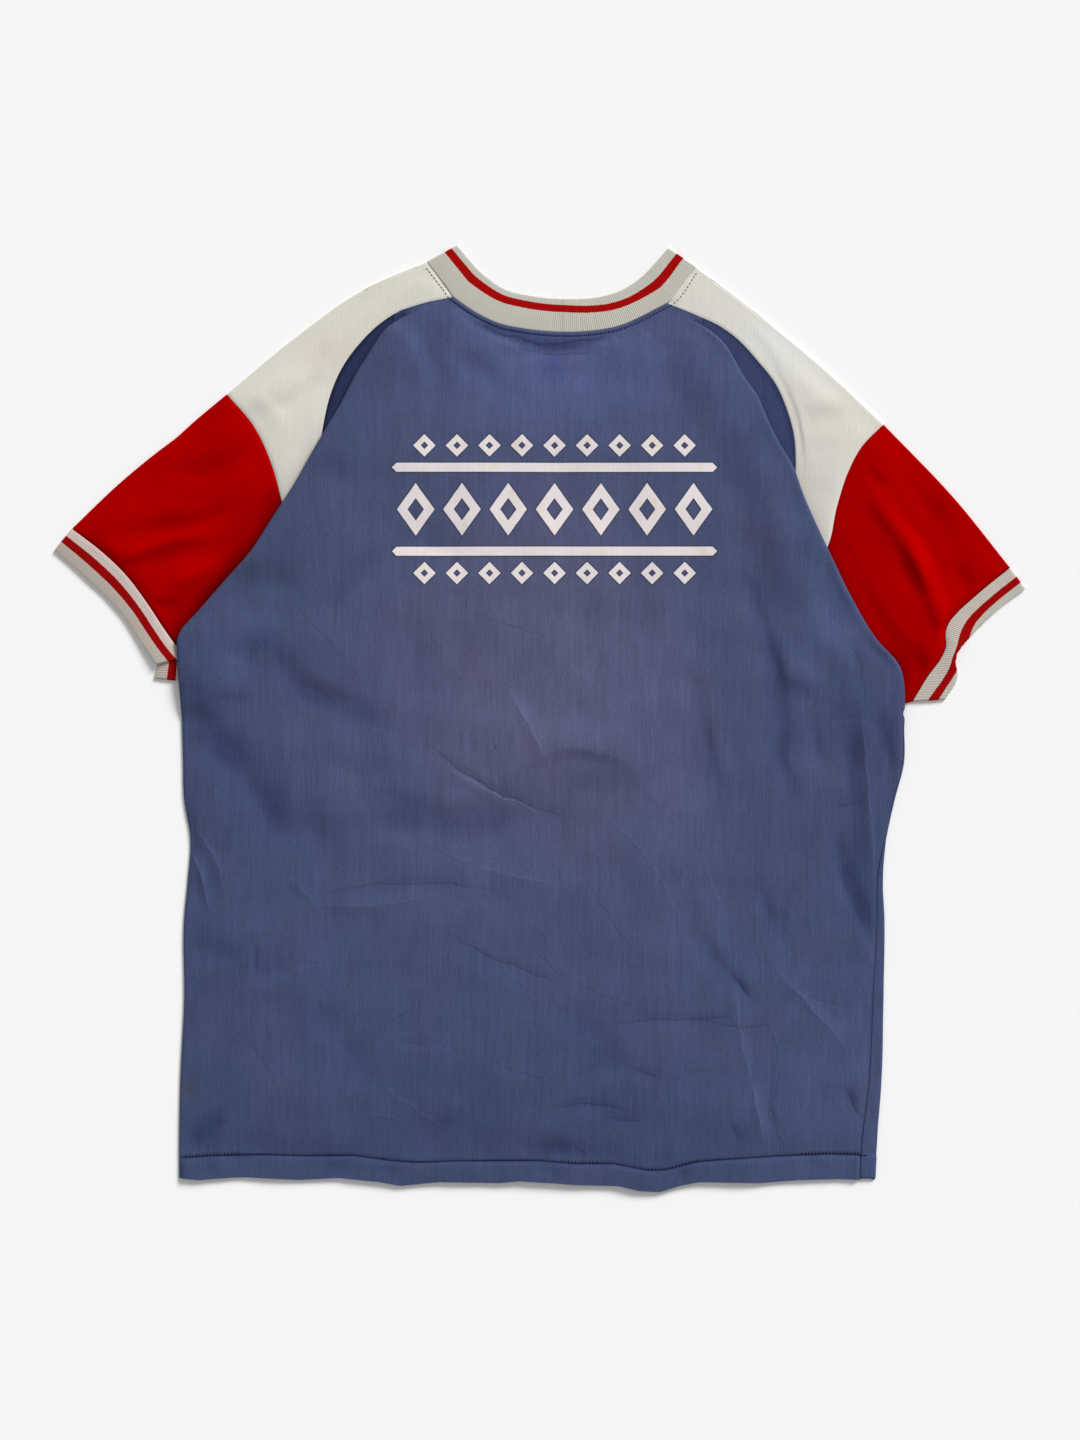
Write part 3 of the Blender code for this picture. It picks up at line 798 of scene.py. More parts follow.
def frontSheets():
    # The front lies flat on its face: its plan, and the strip that wraps over the right side.
    first = frontPanel["firstRow"]
    at = panelAt[panelAt >= first]
    armhole, side = at[at < underarmRow + 1], at[at >= underarmRow + 1]
    left = seamAt(leftEdge, at) + (seamInset, 0)
    right = seamAt(rightEdge, armhole) - (seamInset, 0)
    starts, strip = wrappedStrip(side)
    right[:, 1] -= 2 * seamInset * smooth(armhole - underarmRow + 1)
    right = np.concatenate([right, starts[:, :2]])
    left[:, 1] += hemShift(left[:, 0], left[:, 1])
    neck = np.concatenate([left[:1], line(frontNeckSeam, frontPanel["columns"]), right[:1]])
    neck[1:-1, 1] -= seamInset
    share = (neck[:, 0] - neck[0, 0]) / (neck[-1, 0] - neck[0, 0])
    x = left[-1, 0] + share * (right[-1, 0] - left[-1, 0])
    y = hem["bottomRow"] + hemShift(x, np.full(len(x), hem["bottomRow"] + 0.01))
    bottom = np.stack([x, y], axis=-1)
    bottom[0], bottom[-1] = left[-1], right[-1]
    plan = patch(left, right, neck, bottom, share)
    sheet = raised(plan, layerHeight(1))
    wrapped = np.concatenate([sheet[-len(side):, -1:], strip], axis=1)
    weights = []
    for piece in (sheet, wrapped):
        inHem = smooth((1 - aboveStitch(piece[..., :2])) / 2)
        piece[..., 2] += frontPanel["hemLift"] * inHem * (piece[..., 2] < layerHeight(1.5))
        piece[-1, :, 1] += frontPanel["hemStep"]
        weights.append(inHem)
    return [sheet, wrapped], weights


def foldEdge(arm, last):
    # The visible edge of the blue cloth that lies over an arm.
    found = edgeRows(arm["edge"], evenRows(arm["edge"], 8, last, 50))
    return inFrom(found, arm["inward"], found["fold"][:, None])[:, 0]


def foldShade(plan, arm):
    # The soft shadow beside that edge.
    gap = distanceTo(plan, foldEdge(arm, underarmRow))[0]
    return arm["shadow"]["depth"] * np.exp(-gap / arm["shadow"]["width"])


seamRoll = {"depth": 0.45, "width": 1.3}


def seamDip(plan, path):
    # Where two pieces are sewn edge to edge, both roll down into the seam.
    return -seamRoll["depth"] * bell(distanceTo(plan, path)[0], seamRoll["width"])


# seamRun, foldRun: how far from its back seam and its fold the cloth is free to crease. The
# loft runs are those over which it rises, with a part of the loft left at the sleeve's seam.
shoulder = {
    "rows": 70,
    "backColumns": 46,
    "frontColumns": 12,
    "loft": 1.5,
    "swell": 0.7,
    "seamRun": 34,
    "foldRun": 22,
    "seamLoftRun": 40,
    "foldLoftRun": 30,
    "shadow": 0.35,
}
loftAtJoin = {"least": 0.25, "run": 30}


def joinLoft(distance):
    least = loftAtJoin["least"]
    return least + (1 - least) * swelling(distance / loftAtJoin["run"])


def shoulderSheet(arm, creases):
    # The white piece, from the back seam over the shoulder line to the front seam.
    count, last = shoulder["rows"], arm["joinRow"]
    at = evenRows(arm["edge"], 0, last, count)
    seam, outline = seamAt(arm["edge"], at), line(arm["shoulder"], count)
    sheets = []
    frontPath = [arm["frontStart"], *seamAt(arm["edge"], np.arange(2, last + 1))]
    for name, start in (("backColumns", seam), ("frontColumns", line(frontPath, count))):
        across = np.linspace(0, 1, shoulder[name])
        firstRow = line([start[0], outline[0]], len(across))
        plan = patch(start, outline, firstRow, line(arm["join"][::-1], len(across)), across)
        sheets.append(plan)
    plan = sheets[0]
    fromSeam = np.linalg.norm(plan - plan[:, :1], axis=-1)
    fromFold = np.linalg.norm(plan - plan[:, -1:], axis=-1)
    cover = np.maximum(-edgeRows(arm["edge"], at)["fold"], 0)[:, None]
    free = smooth((fromSeam - cover + 4) / shoulder["seamRun"])
    free *= smooth(fromFold / shoulder["foldRun"])
    band, gap = neckBand(plan)
    join = line(arm["join"], 30)
    clear = swelling(fromSeam / shoulder["seamLoftRun"])
    clear *= swelling(fromFold / shoulder["foldLoftRun"])
    clear *= smooth((gap - 3) / 12)
    clear *= joinLoft(distanceTo(plan, join)[0])
    height = layerHeight(2) + free * shoulder["loft"] * clear + band * smooth(fromFold / 3)
    relief = creaseHeight(plan, creases) + shoulder["swell"] * swellHeight(plan) * clear
    height += free * relief * smooth((gap - 3) / 5) + seamDip(plan, join)
    visible = smooth(1 - cover / 2)
    height -= seamRoll["depth"] * visible * bell(fromSeam, seamRoll["width"])
    front = raised(sheets[1], layerHeight(1))[:, ::-1]
    sheet = foldedOver(raised(plan, height), front)
    drawnBack(sheet, (0, -1))
    drawnBack(sheet.swapaxes(0, 1), (0, -1))
    return sheet, shoulder["shadow"] * foldShade(sheet[..., :2], arm)


# cover: how far in the blue cloth lies over the sleeve. The runs are as for the shoulders.
sleeve = {
    "backAround": 70,
    "frontAround": 22,
    "rings": 62,
    "loft": 1.8,
    "cover": 23,
    "swell": 0.9,
    "crease": 1.35,
    "freeRun": 14,
    "foldLoftRun": 30,
    "cuffRun": 7,
    "lowest": 1.45,
    "cuffShade": {"strength": 0.45, "width": 1.2},
}


def sleeveSheet(arm, creases):
    # A flattened tube from the white piece and the armhole to the cuff.
    at = evenRows(arm["edge"], arm["joinRow"], underarmRow, 30)
    armhole = seamAt(arm["edge"], at)
    join = line(arm["join"], 30)
    upperPath = np.concatenate([join, armhole[1:]])
    rings = np.linspace(0, 1, sleeve["rings"])
    topEdge = lineAt(arm["sleeveTop"], rings)
    cuffPath = line(arm["cuffSeam"], 60)
    lowEdge = lineAt([armhole[-1], cuffPath[-1]], rings)
    plans = []
    for name in ("backAround", "frontAround"):
        upper, lower = line(upperPath, sleeve[name]), line(cuffPath, sleeve[name])
        plans.append(patch(upper, lower, topEdge, lowEdge, rings).swapaxes(0, 1))
    plan = plans[0]
    fromTop = distanceTo(plan, topEdge)[0]
    fromArmhole = distanceTo(plan, armhole)[0]
    fromCuff = distanceTo(plan, cuffPath)[0]
    fromJoin = distanceTo(plan, join)[0]
    free = smooth((fromArmhole - sleeve["cover"]) / sleeve["freeRun"])
    free *= smooth(fromTop / sleeve["freeRun"])
    clear = swelling(fromTop / sleeve["foldLoftRun"]) * joinLoft(fromJoin)
    clear *= swelling((fromCuff - 1) / sleeve["freeRun"])
    relief = sleeve["crease"] * creaseHeight(plan, creases)
    relief *= smooth((fromCuff - 1) / sleeve["cuffRun"])
    relief += sleeve["swell"] * swellHeight(plan) * clear
    height = layerHeight(2) + free * (sleeve["loft"] * clear + relief)
    height += (seamDip(plan, join) + seamDip(plan, cuffPath)) * smooth(fromTop / 3)
    height = np.maximum(height, sleeve["lowest"])
    front = raised(plans[1], layerHeight(1))[:, ::-1]
    sheet = drawnBack(foldedTube(raised(plan, height), front), (0, -1))
    spots, beside = sheet[..., :2], sleeve["cuffShade"]
    beside = beside["strength"] * bell(distanceTo(spots, cuffPath)[0], beside["width"])
    creased = sleeve["crease"] * creaseHeight(spots, creases)
    return sheet, foldShade(spots, arm) + beside + creaseShade(creased)


ribWall = 1.2
ribGround = 0.65
leftCuff = {
    "edge": [
        (-387.6, 135.6), (-372.4, 122), (-359.6, 110.4), (-345.2, 96.8), (-333.2, 83.6),
        (-320.8, 65.2), (-306, 44.4),
    ],
    "seam": [*leftArm["cuffSeam"][:6], (-283, 50.5)],
    "turnBack": [(-282.5, 53.5), (-303.8, 49.8)],
    "bottom": [(-283, 31), (-307.6, 33.2)],
    "pleatHeights": [5.0, 3.3],
    "rings": 16,
    "stations": 84,
}
rightCuff = {
    "seam": rightArm["cuffSeam"],
    "edge": [
        (388.4, 104.4), (370, 90.8), (353.2, 75.6), (342.8, 64.4), (337.2, 58), (333.6, 51.6),
        (332.8, 44.4), (334.4, 36.4), (332.4, 28), (324.7, 16.6),
    ],
    "shown": table(
        "share part",
        (0, 1), (0.3, 1), (0.4, 0.95), (0.5, 0.8), (0.58, 0.68), (0.66, 0.62), (0.74, 0.68),
        (0.82, 0.88), (0.9, 1), (1, 1),
    ),
    "width": 20.5,
    "curl": 4.4,
    "rings": 26,
    "stations": 84,
}


def bandPlan(seam, edge, shares):
    return seam + np.asarray(shares)[:, None, None] * (edge - seam)


def ribSwell(plan, shares):
    # A rib band is a little full between its seam and its edge, and its edge waves slightly.
    wave = np.sin(plan[..., 0] / 7.3) * np.sin(plan[..., 1] / 9.1 + 1)
    full = np.sin(math.pi * np.asarray(shares))[:, None]
    return 0.45 * full + 0.22 * wave * np.asarray(shares)[:, None]


def leftCuffSheet():
    # The lower end is pleated in a Z: an upper stretch, a hidden one and a lower one.
    shares = np.linspace(0, 1, leftCuff["rings"])
    spread = np.sqrt(shares)[:, None]
    high, middle = leftCuff["pleatHeights"]
    low, rest = layerHeight(2), layerHeight(2)

    def layer(seam, edge, start, end, bend):
        plan = bandPlan(seam, edge, shares)
        rise = np.linspace(0, 1, len(seam)) ** bend
        height = rest + spread * (start - rest + (end - start) * rise)
        return raised(plan, height + ribSwell(plan, shares))

    count = leftCuff["stations"]
    seam, edge = line(leftCuff["seam"], count), line(leftCuff["edge"], count)
    pleat = np.array([seam[-1], edge[-1]])
    turnBack, bottom = np.array(leftCuff["turnBack"], float), np.array(leftCuff["bottom"], float)
    hidden = [line([pleat[i], turnBack[i]], 6) for i in (0, 1)]
    lower = [line([turnBack[i], bottom[i]], 12) for i in (0, 1)]
    frontSeam = line([bottom[0], *leftCuff["seam"][-2::-1]], count // 2)
    frontEdge = line([bottom[1], *leftCuff["edge"][::-1]], count // 2)
    front = raised(bandPlan(frontSeam, frontEdge, shares), ribGround)
    layers = [
        layer(seam, edge, rest, high, 5),
        layer(*hidden, middle, middle, 1),
        layer(*lower, low, low, 1),
        front,
    ]
    return drawnBack(foldedTube(*layers), (0,)), shares


def rightCuffSheet():
    # Beside the underarm the band's open edge curls under.
    shares = np.linspace(0, 1, rightCuff["rings"])
    count = rightCuff["stations"]
    seam, edge = line(rightCuff["seam"], count), line(rightCuff["edge"], count)
    shown = rightCuff["shown"]
    part = np.interp(np.linspace(0, 1, count), column(shown, "share"), column(shown, "part"))
    reach = np.linalg.norm(edge - seam, axis=1)
    across = shares[:, None] / part
    under = np.maximum(shares[:, None] - part, 0) * rightCuff["width"] / reach
    plan = seam + np.minimum(across, 1 - under)[..., None] * (edge - seam)
    lift = rightCuff["curl"] * (1 - part) * np.sqrt(np.minimum(across, 1))
    drop = smooth((across - 1) / 0.12 + 0.5) * np.minimum((1 - part) * 12, 1) * 1.3
    height = layerHeight(2) + lift - drop + ribSwell(plan, shares) * (across < 1)
    front = raised(bandPlan(seam[::-2], edge[::-2], shares), ribGround)
    front[:, -1, :2] = plan[:, 0]
    front[:, 0, :2] = plan[:, -1]
    return drawnBack(foldedTube(raised(plan, height), front), (0,)), shares


collar = {"stations": 190, "frontStations": 90, "rings": 16}


def collarSheet():
    # The band round the neck, a flattened ring that turns over at its two tips.
    shares = np.linspace(0, 1, collar["rings"])
    sides = [
        line([leftArm["neckFold"], leftArm["frontStart"]], 4)[:-1],
        line([rightArm["frontStart"], rightArm["neckFold"]], 4)[1:],
    ]
    frontPath = np.concatenate([sides[0], line(frontNeckSeam, 40), sides[1]])
    backSeam = lineAt(collarGuide, np.linspace(0, 1, collar["stations"]))
    backSeam[0], backSeam[-1] = leftArm["neckFold"], rightArm["neckFold"]
    plan = bandPlan(backSeam, line(backNeck, collar["stations"]), shares)
    front = bandPlan(
        lineAt(frontPath, np.linspace(0, 1, collar["frontStations"])),
        line(frontNeck, collar["frontStations"]),
        shares,
    )
    top = raised(plan, layerHeight(2) + ribSwell(plan, shares) * 0.9)
    return drawnBack(foldedTube(top, raised(front, ribGround)[:, ::-1]), (0,)), shares


class Amount:
    # A shader value that can stand in an ordinary sum.
    def __init__(self, look, socket):
        self.look = look
        self.socket = socket

    def __add__(self, other):
        return self.look.sums("ADD", self, other)

    def __radd__(self, other):
        return self.look.sums("ADD", other, self)

    def __sub__(self, other):
        return self.look.sums("SUBTRACT", self, other)

    def __rsub__(self, other):
        return self.look.sums("SUBTRACT", other, self)

    def __mul__(self, other):
        return self.look.sums("MULTIPLY", self, other)

    def __rmul__(self, other):
        return self.look.sums("MULTIPLY", other, self)

    def __truediv__(self, other):
        return self.look.sums("DIVIDE", self, other)

    def __neg__(self):
        return self.look.sums("MULTIPLY", self, -1)

    def __abs__(self):
        return self.look.sums("ABSOLUTE", self)


class Look:
    # A material and the nodes that make its finish.
    def __init__(self, name, finish):
        self.material = bpy.data.materials.new(name)
        self.material.use_nodes = True
        self.tree = self.material.node_tree
        self.shader = self.tree.nodes["Principled BSDF"]
        for socket, value in finish.items():
            self.shader.inputs[socket].default_value = value

    def join(self, value, socket):
        if isinstance(value, Amount):
            value = value.socket
        if isinstance(value, bpy.types.NodeSocket):
            self.tree.links.new(value, socket)
        else:
            socket.default_value = value

    def add(self, kind, settings, values):
        # A node: its settings first, then the values or links of its sockets.
        node = self.tree.nodes.new(kind)
        for key, value in settings.items():
            setattr(node, key, value)
        for socket, value in values.items():
            self.join(value, node.inputs[socket])
        return node

    def sums(self, operation, *values):
        node = self.add("ShaderNodeMath", {"operation": operation}, dict(enumerate(values)))
        return Amount(self, node.outputs[0])

    def place(self):
        # Where a point lies on the garment, in millimetres.
        spot = self.add("ShaderNodeTexCoord", {}, {}).outputs["Object"]
        parts = self.add("ShaderNodeSeparateXYZ", {}, {0: spot})
        return Amount(self, parts.outputs[0]) * 1000, Amount(self, parts.outputs[1]) * 1000

    def step(self, value, low, high):
        # 0 below the low value, 1 above the high one, and smooth between them.
        ramp = {"interpolation_type": "SMOOTHSTEP"}
        node = self.add("ShaderNodeMapRange", ramp, {"Value": value, "From Min": low, "From Max": high})
        return Amount(self, node.outputs["Result"])

    def spot(self, x, y, middle, size):
        # A soft round or oval mark.
        across, down = (x - middle[0]) / size[0], (y - middle[1]) / size[1]
        return self.sums("EXPONENT", -(across * across + down * down))

    def noise(self, x, y, size, detail=2):
        # Random unevenness about 0, its spots of the given width and length in millimetres.
        place = self.add("ShaderNodeCombineXYZ", {}, {0: x / size[0], 1: y / size[1]})
        values = {"Vector": place.outputs[0], "Scale": 1, "Detail": detail}
        node = self.add("ShaderNodeTexNoise", {}, values)
        return Amount(self, node.outputs["Fac"]) - 0.5

    def mix(self, share, first, second):
        node = self.add("ShaderNodeMix", {"data_type": "RGBA"}, {0: share, 6: first, 7: second})
        return node.outputs[2]

    def scaled(self, colour, amount):
        values = {0: colour[:3] if isinstance(colour, tuple) else colour, "Scale": amount}
        return self.add("ShaderNodeVectorMath", {"operation": "SCALE"}, values).outputs[0]

    def shade(self):
        # 1 where the cloth is lit fully, less in its troughs and under its folds.
        node = self.add("ShaderNodeAttribute", {"attribute_name": "shade"}, {})
        return 1 - Amount(self, node.outputs["Fac"])

    def finish(self, colour, height, depth):
        # The colour, and a bump of the given depth in millimetres.
        self.join(colour, self.shader.inputs["Base Color"])
        values = {"Height": height * (depth * mm), "Distance": 1}
        bump = self.add("ShaderNodeBump", {}, values)
        self.join(bump.outputs[0], self.shader.inputs["Normal"])
        return self.material


def dyed(colour):
    # A colour as it looks on a screen, from 0 to 255, as the linear one of the shader.
    shares = [value / 255 for value in colour]
    linear = [s / 12.92 if s <= 0.04045 else ((s + 0.055) / 1.055) ** 2.4 for s in shares]
    return (*linear, 1)


knitFinish = {
    "Roughness": 0.88,
    "Specular IOR Level": 0.12,
    "Sheen Weight": 0.06,
    "Sheen Roughness": 0.5,
}
knitGrain = table(
    "size strength",
    ((1.5, 36), 0.22), ((5, 110), 0.12), ((0.9, 0.9), 0.32), ((1.1, 5), 0.2),
)


def knitted(look, x, y, amount):
    # Fine lengthwise streaks and a grain, about 1.
    total = 1
    for grain in knitGrain:
        total = look.noise(x, y, grain["size"]) * (grain["strength"] * amount * 2) + total
    return total


def fainter(grain, share):
    return (grain - 1) * share + 1


def stainedAndShaded(look, x, y, colour, stainsAndPaintedShading):
    # Soft fades and stains, and painted shade and highlights, laid over a colour.
    for mark in stainsAndPaintedShading:
        share = look.spot(x, y, mark["middle"], mark["size"]) * mark["strength"]
        colour = look.mix(share, colour, dyed(mark["colour"]))
    return colour


blueLook = {
    "base": (66, 77, 112),
    # Marks of the dye: fades, stains, lighter near the top and darker towards the hem; and painted
    # shade on troughs, under the collar and beside ridges, with painted highlights by the right
    # underarm and on the lower right.
    "stainsAndPaintedShading": table(
        "colour strength middle size",
        ((94, 94, 124), 0.75, (0, 40), (150, 190)),
        ((86, 96, 142), 0.8, (20, 272), (110, 45)),
        ((60, 72, 106), 0.6, (-50, -330), (260, 90)),
        ((72, 88, 124), 0.5, (220, -280), (60, 110)),
        ((54, 61, 96), 0.45, (270, -34), (15, 50)),
        ((54, 60, 78), 0.6, (-232, 118), (14, 12)),
        ((58, 64, 84), 0.5, (-206, 112), (12, 9)),
        ((62, 74, 128), 0.5, (12, 282), (10, 12)),
        ((58, 70, 118), 0.4, (-222, 64), (16, 8)),
        ((78, 70, 78), 0.6, (-280, -294), (5, 6)),
        ((36, 40, 60), 0.8, (-35, -22), (0.8, 0.8)),
        ((44, 50, 86), 0.6, (18, 297), (32, 5)),
        ((86, 98, 140), 0.6, (224, 66), (22, 38)),
        ((86, 97, 140), 0.4, (144, 240), (20, 15)),
        ((84, 93, 130), 0.4, (-232, 78), (26, 13)),
        ((96, 100, 136), 0.35, (104, 80), (15, 24)),
        ((82, 90, 126), 0.4, (144, -32), (14, 22)),
        ((54, 60, 92), 0.4, (-218, -78), (26, 12)),
        ((58, 64, 96), 0.45, (-104, -82), (50, 9)),
        ((58, 62, 92), 0.5, (50, -48), (30, 12)),
        ((46, 54, 84), 0.6, (256, -130), (11, 56)),
        ((54, 62, 96), 0.4, (60, -320), (26, 18)),
        ((46, 54, 86), 0.5, (-268, -334), (13, 13)),
    ),
    # Tints that change slowly over the cloth: mauve one way, grey-blue the other.
    "tints": table("colour sign strength", ((84, 78, 112), 1, 0.16), ((60, 80, 112), -1, 0.2)),
    "tintSize": (80, 100),
    "mottleSize": (17, 24),
    "mottle": 0.3,
    # What dark shade does to the red, green and blue of the dye.
    "inShade": (0.8, 0.92, 1.45),
}
# Lines finer than the mesh: one in the middle of each narrow crease, and creases of their own. The
# cloth between them wavers, so no line runs quite straight. shade: how much darker their troughs and
# lighter their ridges are painted.
fineLines = {
    "narrow": 4,
    "width": 1.2,
    "height": 0.34,
    "shade": 0.14,
    "waver": 7,
    "waverSize": (16, 16),
}
fineCreases = table(
    "height path",
    (-0.6, [(136, -242), (160, -246), (184, -245)]),
    (0.6, [(184, -245), (191, -270), (187, -294)]),
    (0.4, [(187, -292), (185, -302), (180, -312)]),
    (0.5, [(187, -322), (193, -334), (198, -347)]),
    (-0.4, [(212, -220), (234, -228), (257, -232)]),
    (0.4, [(37, -291), (50, -277), (65, -260)]),
    (-0.4, [(24, -336), (30, -344), (37, -350)]),
    (-0.4, [(128, -326), (137, -333), (145, -343)]),
    (-0.4, [(36, -128), (58, -162), (80, -192)]),
    (0.4, [(-128, -288), (-100, -312), (-72, -328)]),
    (-0.4, [(-40, -272), (-14, -284), (8, -288)]),
    (-0.35, [(-120, -240), (-84, -258), (-48, -272)]),
    (0.4, [(-216, -214), (-190, -200), (-160, -196)]),
    (-0.4, [(-138, -262), (-112, -238), (-86, -222)]),
    (0.35, [(126, -96), (136, -128), (152, -164)]),
    (-0.4, [(172, -168), (182, -200), (178, -236)]),
    (0.4, [(208, -262), (214, -290), (206, -322)]),
    (-0.35, [(-8, -182), (30, -212), (64, -226)]),
    (0.4, [(60, -84), (92, -120), (110, -158)]),
    (-0.4, [(-232, -208), (-206, -196), (-184, -178)]),
    (0.35, [(-38, -208), (-6, -222), (24, -240)]),
    (-0.35, [(10, -290), (36, -282), (64, -266)]),
    (0.35, [(-92, -96), (-60, -112), (-24, -112)]),
    (-0.35, [(128, 36), (136, 4), (134, -34)]),
    (-0.4, [(-196, 88), (-176, 70), (-158, 50)]),
    (0.35, [(208, -96), (200, -124), (206, -150)]),
    (-0.4, [(-240, -252), (-220, -276), (-206, -308)]),
    (-0.35, [(96, -300), (112, -286), (136, -282)]),
    (-0.35, [(-60, 88), (-24, 74), (10, 64)]),
    (0.35, [(-170, -328), (-140, -318), (-104, -322)]),
)


def strokes(look, x, y):
    # Each line is a long bell, bent to pass its crease's middle. u runs along it and v across,
    # both read by a dot product whose third part is the offset.
    wavers = [
        look.noise(x + 90 * k, y, fineLines["waverSize"]) * fineLines["waver"] for k in range(2)
    ]
    values = {0: x + wavers[0], 1: y + wavers[1], 2: 1.0}
    spot = look.add("ShaderNodeCombineXYZ", {}, values).outputs[0]

    def onLine(way, offset):
        values = {0: spot, 1: (float(way[0]), float(way[1]), float(offset))}
        node = look.add("ShaderNodeVectorMath", {"operation": "DOT_PRODUCT"}, values)
        return Amount(look, node.outputs["Value"])

    total = 0.0
    narrow = [row for row in backCreases if min(row["left"], row["right"]) <= fineLines["narrow"]]
    for crease in narrow + fineCreases:
        path = np.array(crease["path"], float)
        middle, half = (path[0] + path[-1]) / 2, (path[-1] - path[0]) / 2
        reach = np.linalg.norm(half)
        across = np.array([-half[1], half[0]]) / (reach * fineLines["width"])
        waist = (path[(len(path) - 1) // 2] + path[len(path) // 2]) / 2
        bend = float((waist - middle) @ across)
        u = onLine(half / reach**2, -(middle @ half) / reach**2)
        v = onLine(across, -(middle @ across) - bend)
        run = u * u
        v = look.sums("MULTIPLY_ADD", run, bend, v)
        away = look.sums("MULTIPLY_ADD", run, run, v * v)
        near = look.sums("POWER", math.exp(-1), away)
        total = look.sums("MULTIPLY_ADD", near, float(np.clip(crease["height"], -1, 1)), total)
    return total


# A plain ornament in the print's place: diamonds between bars, all in millimetres.
ornament = {
    "middle": (12, 168),
    "large": {"pitch": 37, "half": (15, 21), "hole": (6.5, 9), "count": 7, "down": 0},
    "small": {"pitch": 26, "half": (9, 9), "hole": (3, 3), "count": 9, "down": 51},
    "bar": {"down": 33.5, "half": 3.6, "reach": 130},
    "colour": (232, 223, 224),
    "rim": (48, 50, 66),
    "worn": (224, 212, 186),
    "rimWidth": 0.9,
    "grain": 0.25,
}


def diamonds(look, x, y, row):
    # The distance to the nearest of a row of hollow diamonds, negative inside. Their count is odd.
    half = row["count"] * row["pitch"] / 2
    across = look.sums("WRAP", x, row["pitch"] / 2, -row["pitch"] / 2)

    def edge(size):
        scale = 1 / math.hypot(1 / size[0], 1 / size[1])
        return (abs(across) / size[0] + abs(y) / size[1] - 1) * scale

    ring = look.sums("MAXIMUM", edge(row["half"]), -edge(row["hole"]))
    return look.sums("MAXIMUM", ring, abs(x) - half)


def printed(look, x, y):
    across, up = x - ornament["middle"][0], y - ornament["middle"][1]
    bar = ornament["bar"]
    beside = abs(up) - bar["down"]
    pointed = (abs(across) + abs(beside) - bar["reach"]) * 0.7
    shape = look.sums("MAXIMUM", abs(beside) - bar["half"], pointed)
    shape = look.sums("MINIMUM", shape, diamonds(look, across, up, ornament["large"]))
    outer = diamonds(look, across, abs(up) - ornament["small"]["down"], ornament["small"])
    return look.sums("MINIMUM", shape, outer)


def blueKnit():
    look = Look("blue_knit", knitFinish)
    x, y = look.place()
    colour = stainedAndShaded(look, x, y, dyed(blueLook["base"]), blueLook["stainsAndPaintedShading"])
    drift = look.noise(x, y, blueLook["tintSize"])
    for tint in blueLook["tints"]:
        share = look.step(drift * tint["sign"], 0, 0.2) * tint["strength"]
        colour = look.mix(share, colour, dyed(tint["colour"]))
    knit = knitted(look, x, y, 1)
    mottle = look.noise(x, y, blueLook["mottleSize"], 3) * blueLook["mottle"]
    lines = strokes(look, x, y)
    # grain holds the knit, its mottle, and the painted shade and highlights of the fine lines.
    grain = knit + mottle + lines * fineLines["shade"]
    shape = printed(look, x + look.noise(x, y, (9, 9)) * 0.7, y)
    ink = 1 - look.step(shape, -0.25, 0.25)
    rim = (1 - look.step(shape, ornament["rimWidth"] - 0.3, ornament["rimWidth"] + 0.3)) * (1 - ink)
    wear = look.step(look.noise(x, y, (14, 18), 4), 0.05, 0.2) * 0.5
    inked = look.mix(wear, dyed(ornament["colour"]), dyed(ornament["worn"]))
    colour = look.scaled(colour, grain * look.shade())
    bluer = look.add(
        "ShaderNodeVectorMath", {"operation": "MULTIPLY"}, {0: colour, 1: blueLook["inShade"]}
    ).outputs[0]
    colour = look.mix(1 - look.shade(), colour, bluer)
    colour = look.mix(rim * 0.75, colour, dyed(ornament["rim"]))
    colour = look.mix(ink, colour, look.scaled(inked, fainter(knit, ornament["grain"])))
    return look.finish(colour, knit * 0.25 + ink * 0.15 + lines * fineLines["height"], 1)


whiteLook = {
    "base": (222, 218, 208),
    "grain": 0.22,
    "depth": 0.22,
    # Stains, a lighter patch on the right shoulder, and painted shade: the grey spots by that
    # shoulder's fold edge and on a trough near it.
    "stainsAndPaintedShading": table(
        "colour strength middle size",
        ((214, 206, 188), 0.5, (-140, 348), (22, 10)),
        ((212, 200, 190), 0.5, (-168, 296), (20, 16)),
        ((206, 202, 196), 0.3, (225, 190), (16, 40)),
        ((228, 231, 228), 0.6, (190, 300), (60, 36)),
        ((206, 200, 190), 0.35, (232, 248), (14, 10)),
    ),
}


def whiteKnit():
    look = Look("white_knit", knitFinish)
    x, y = look.place()
    knit = knitted(look, x, y, 1)
    colour = stainedAndShaded(look, x, y, dyed(whiteLook["base"]), whiteLook["stainsAndPaintedShading"])
    colour = look.scaled(colour, fainter(knit, whiteLook["grain"]) * look.shade())
    return look.finish(colour, knit, whiteLook["depth"])


redLook = {
    "base": (170, 0, 0),
    "finish": {"Roughness": 0.95, "Specular IOR Level": 0, "Sheen Weight": 0},
    # The sleeves' knit runs along the arms, turned by this many degrees.
    "turn": 38,
    "grain": 0.55,
    "depth": 0.22,
}


def redKnit():
    look = Look("red_knit", redLook["finish"])
    x, y = look.place()
    turn = math.radians(redLook["turn"])
    lengthwise = abs(x) * math.cos(turn) - y * math.sin(turn)
    crosswise = abs(x) * math.sin(turn) + y * math.cos(turn)
    grain = knitted(look, crosswise, lengthwise, redLook["grain"])
    colour = look.scaled(dyed(redLook["base"]), grain * look.shade())
    return look.finish(colour, grain, redLook["depth"])


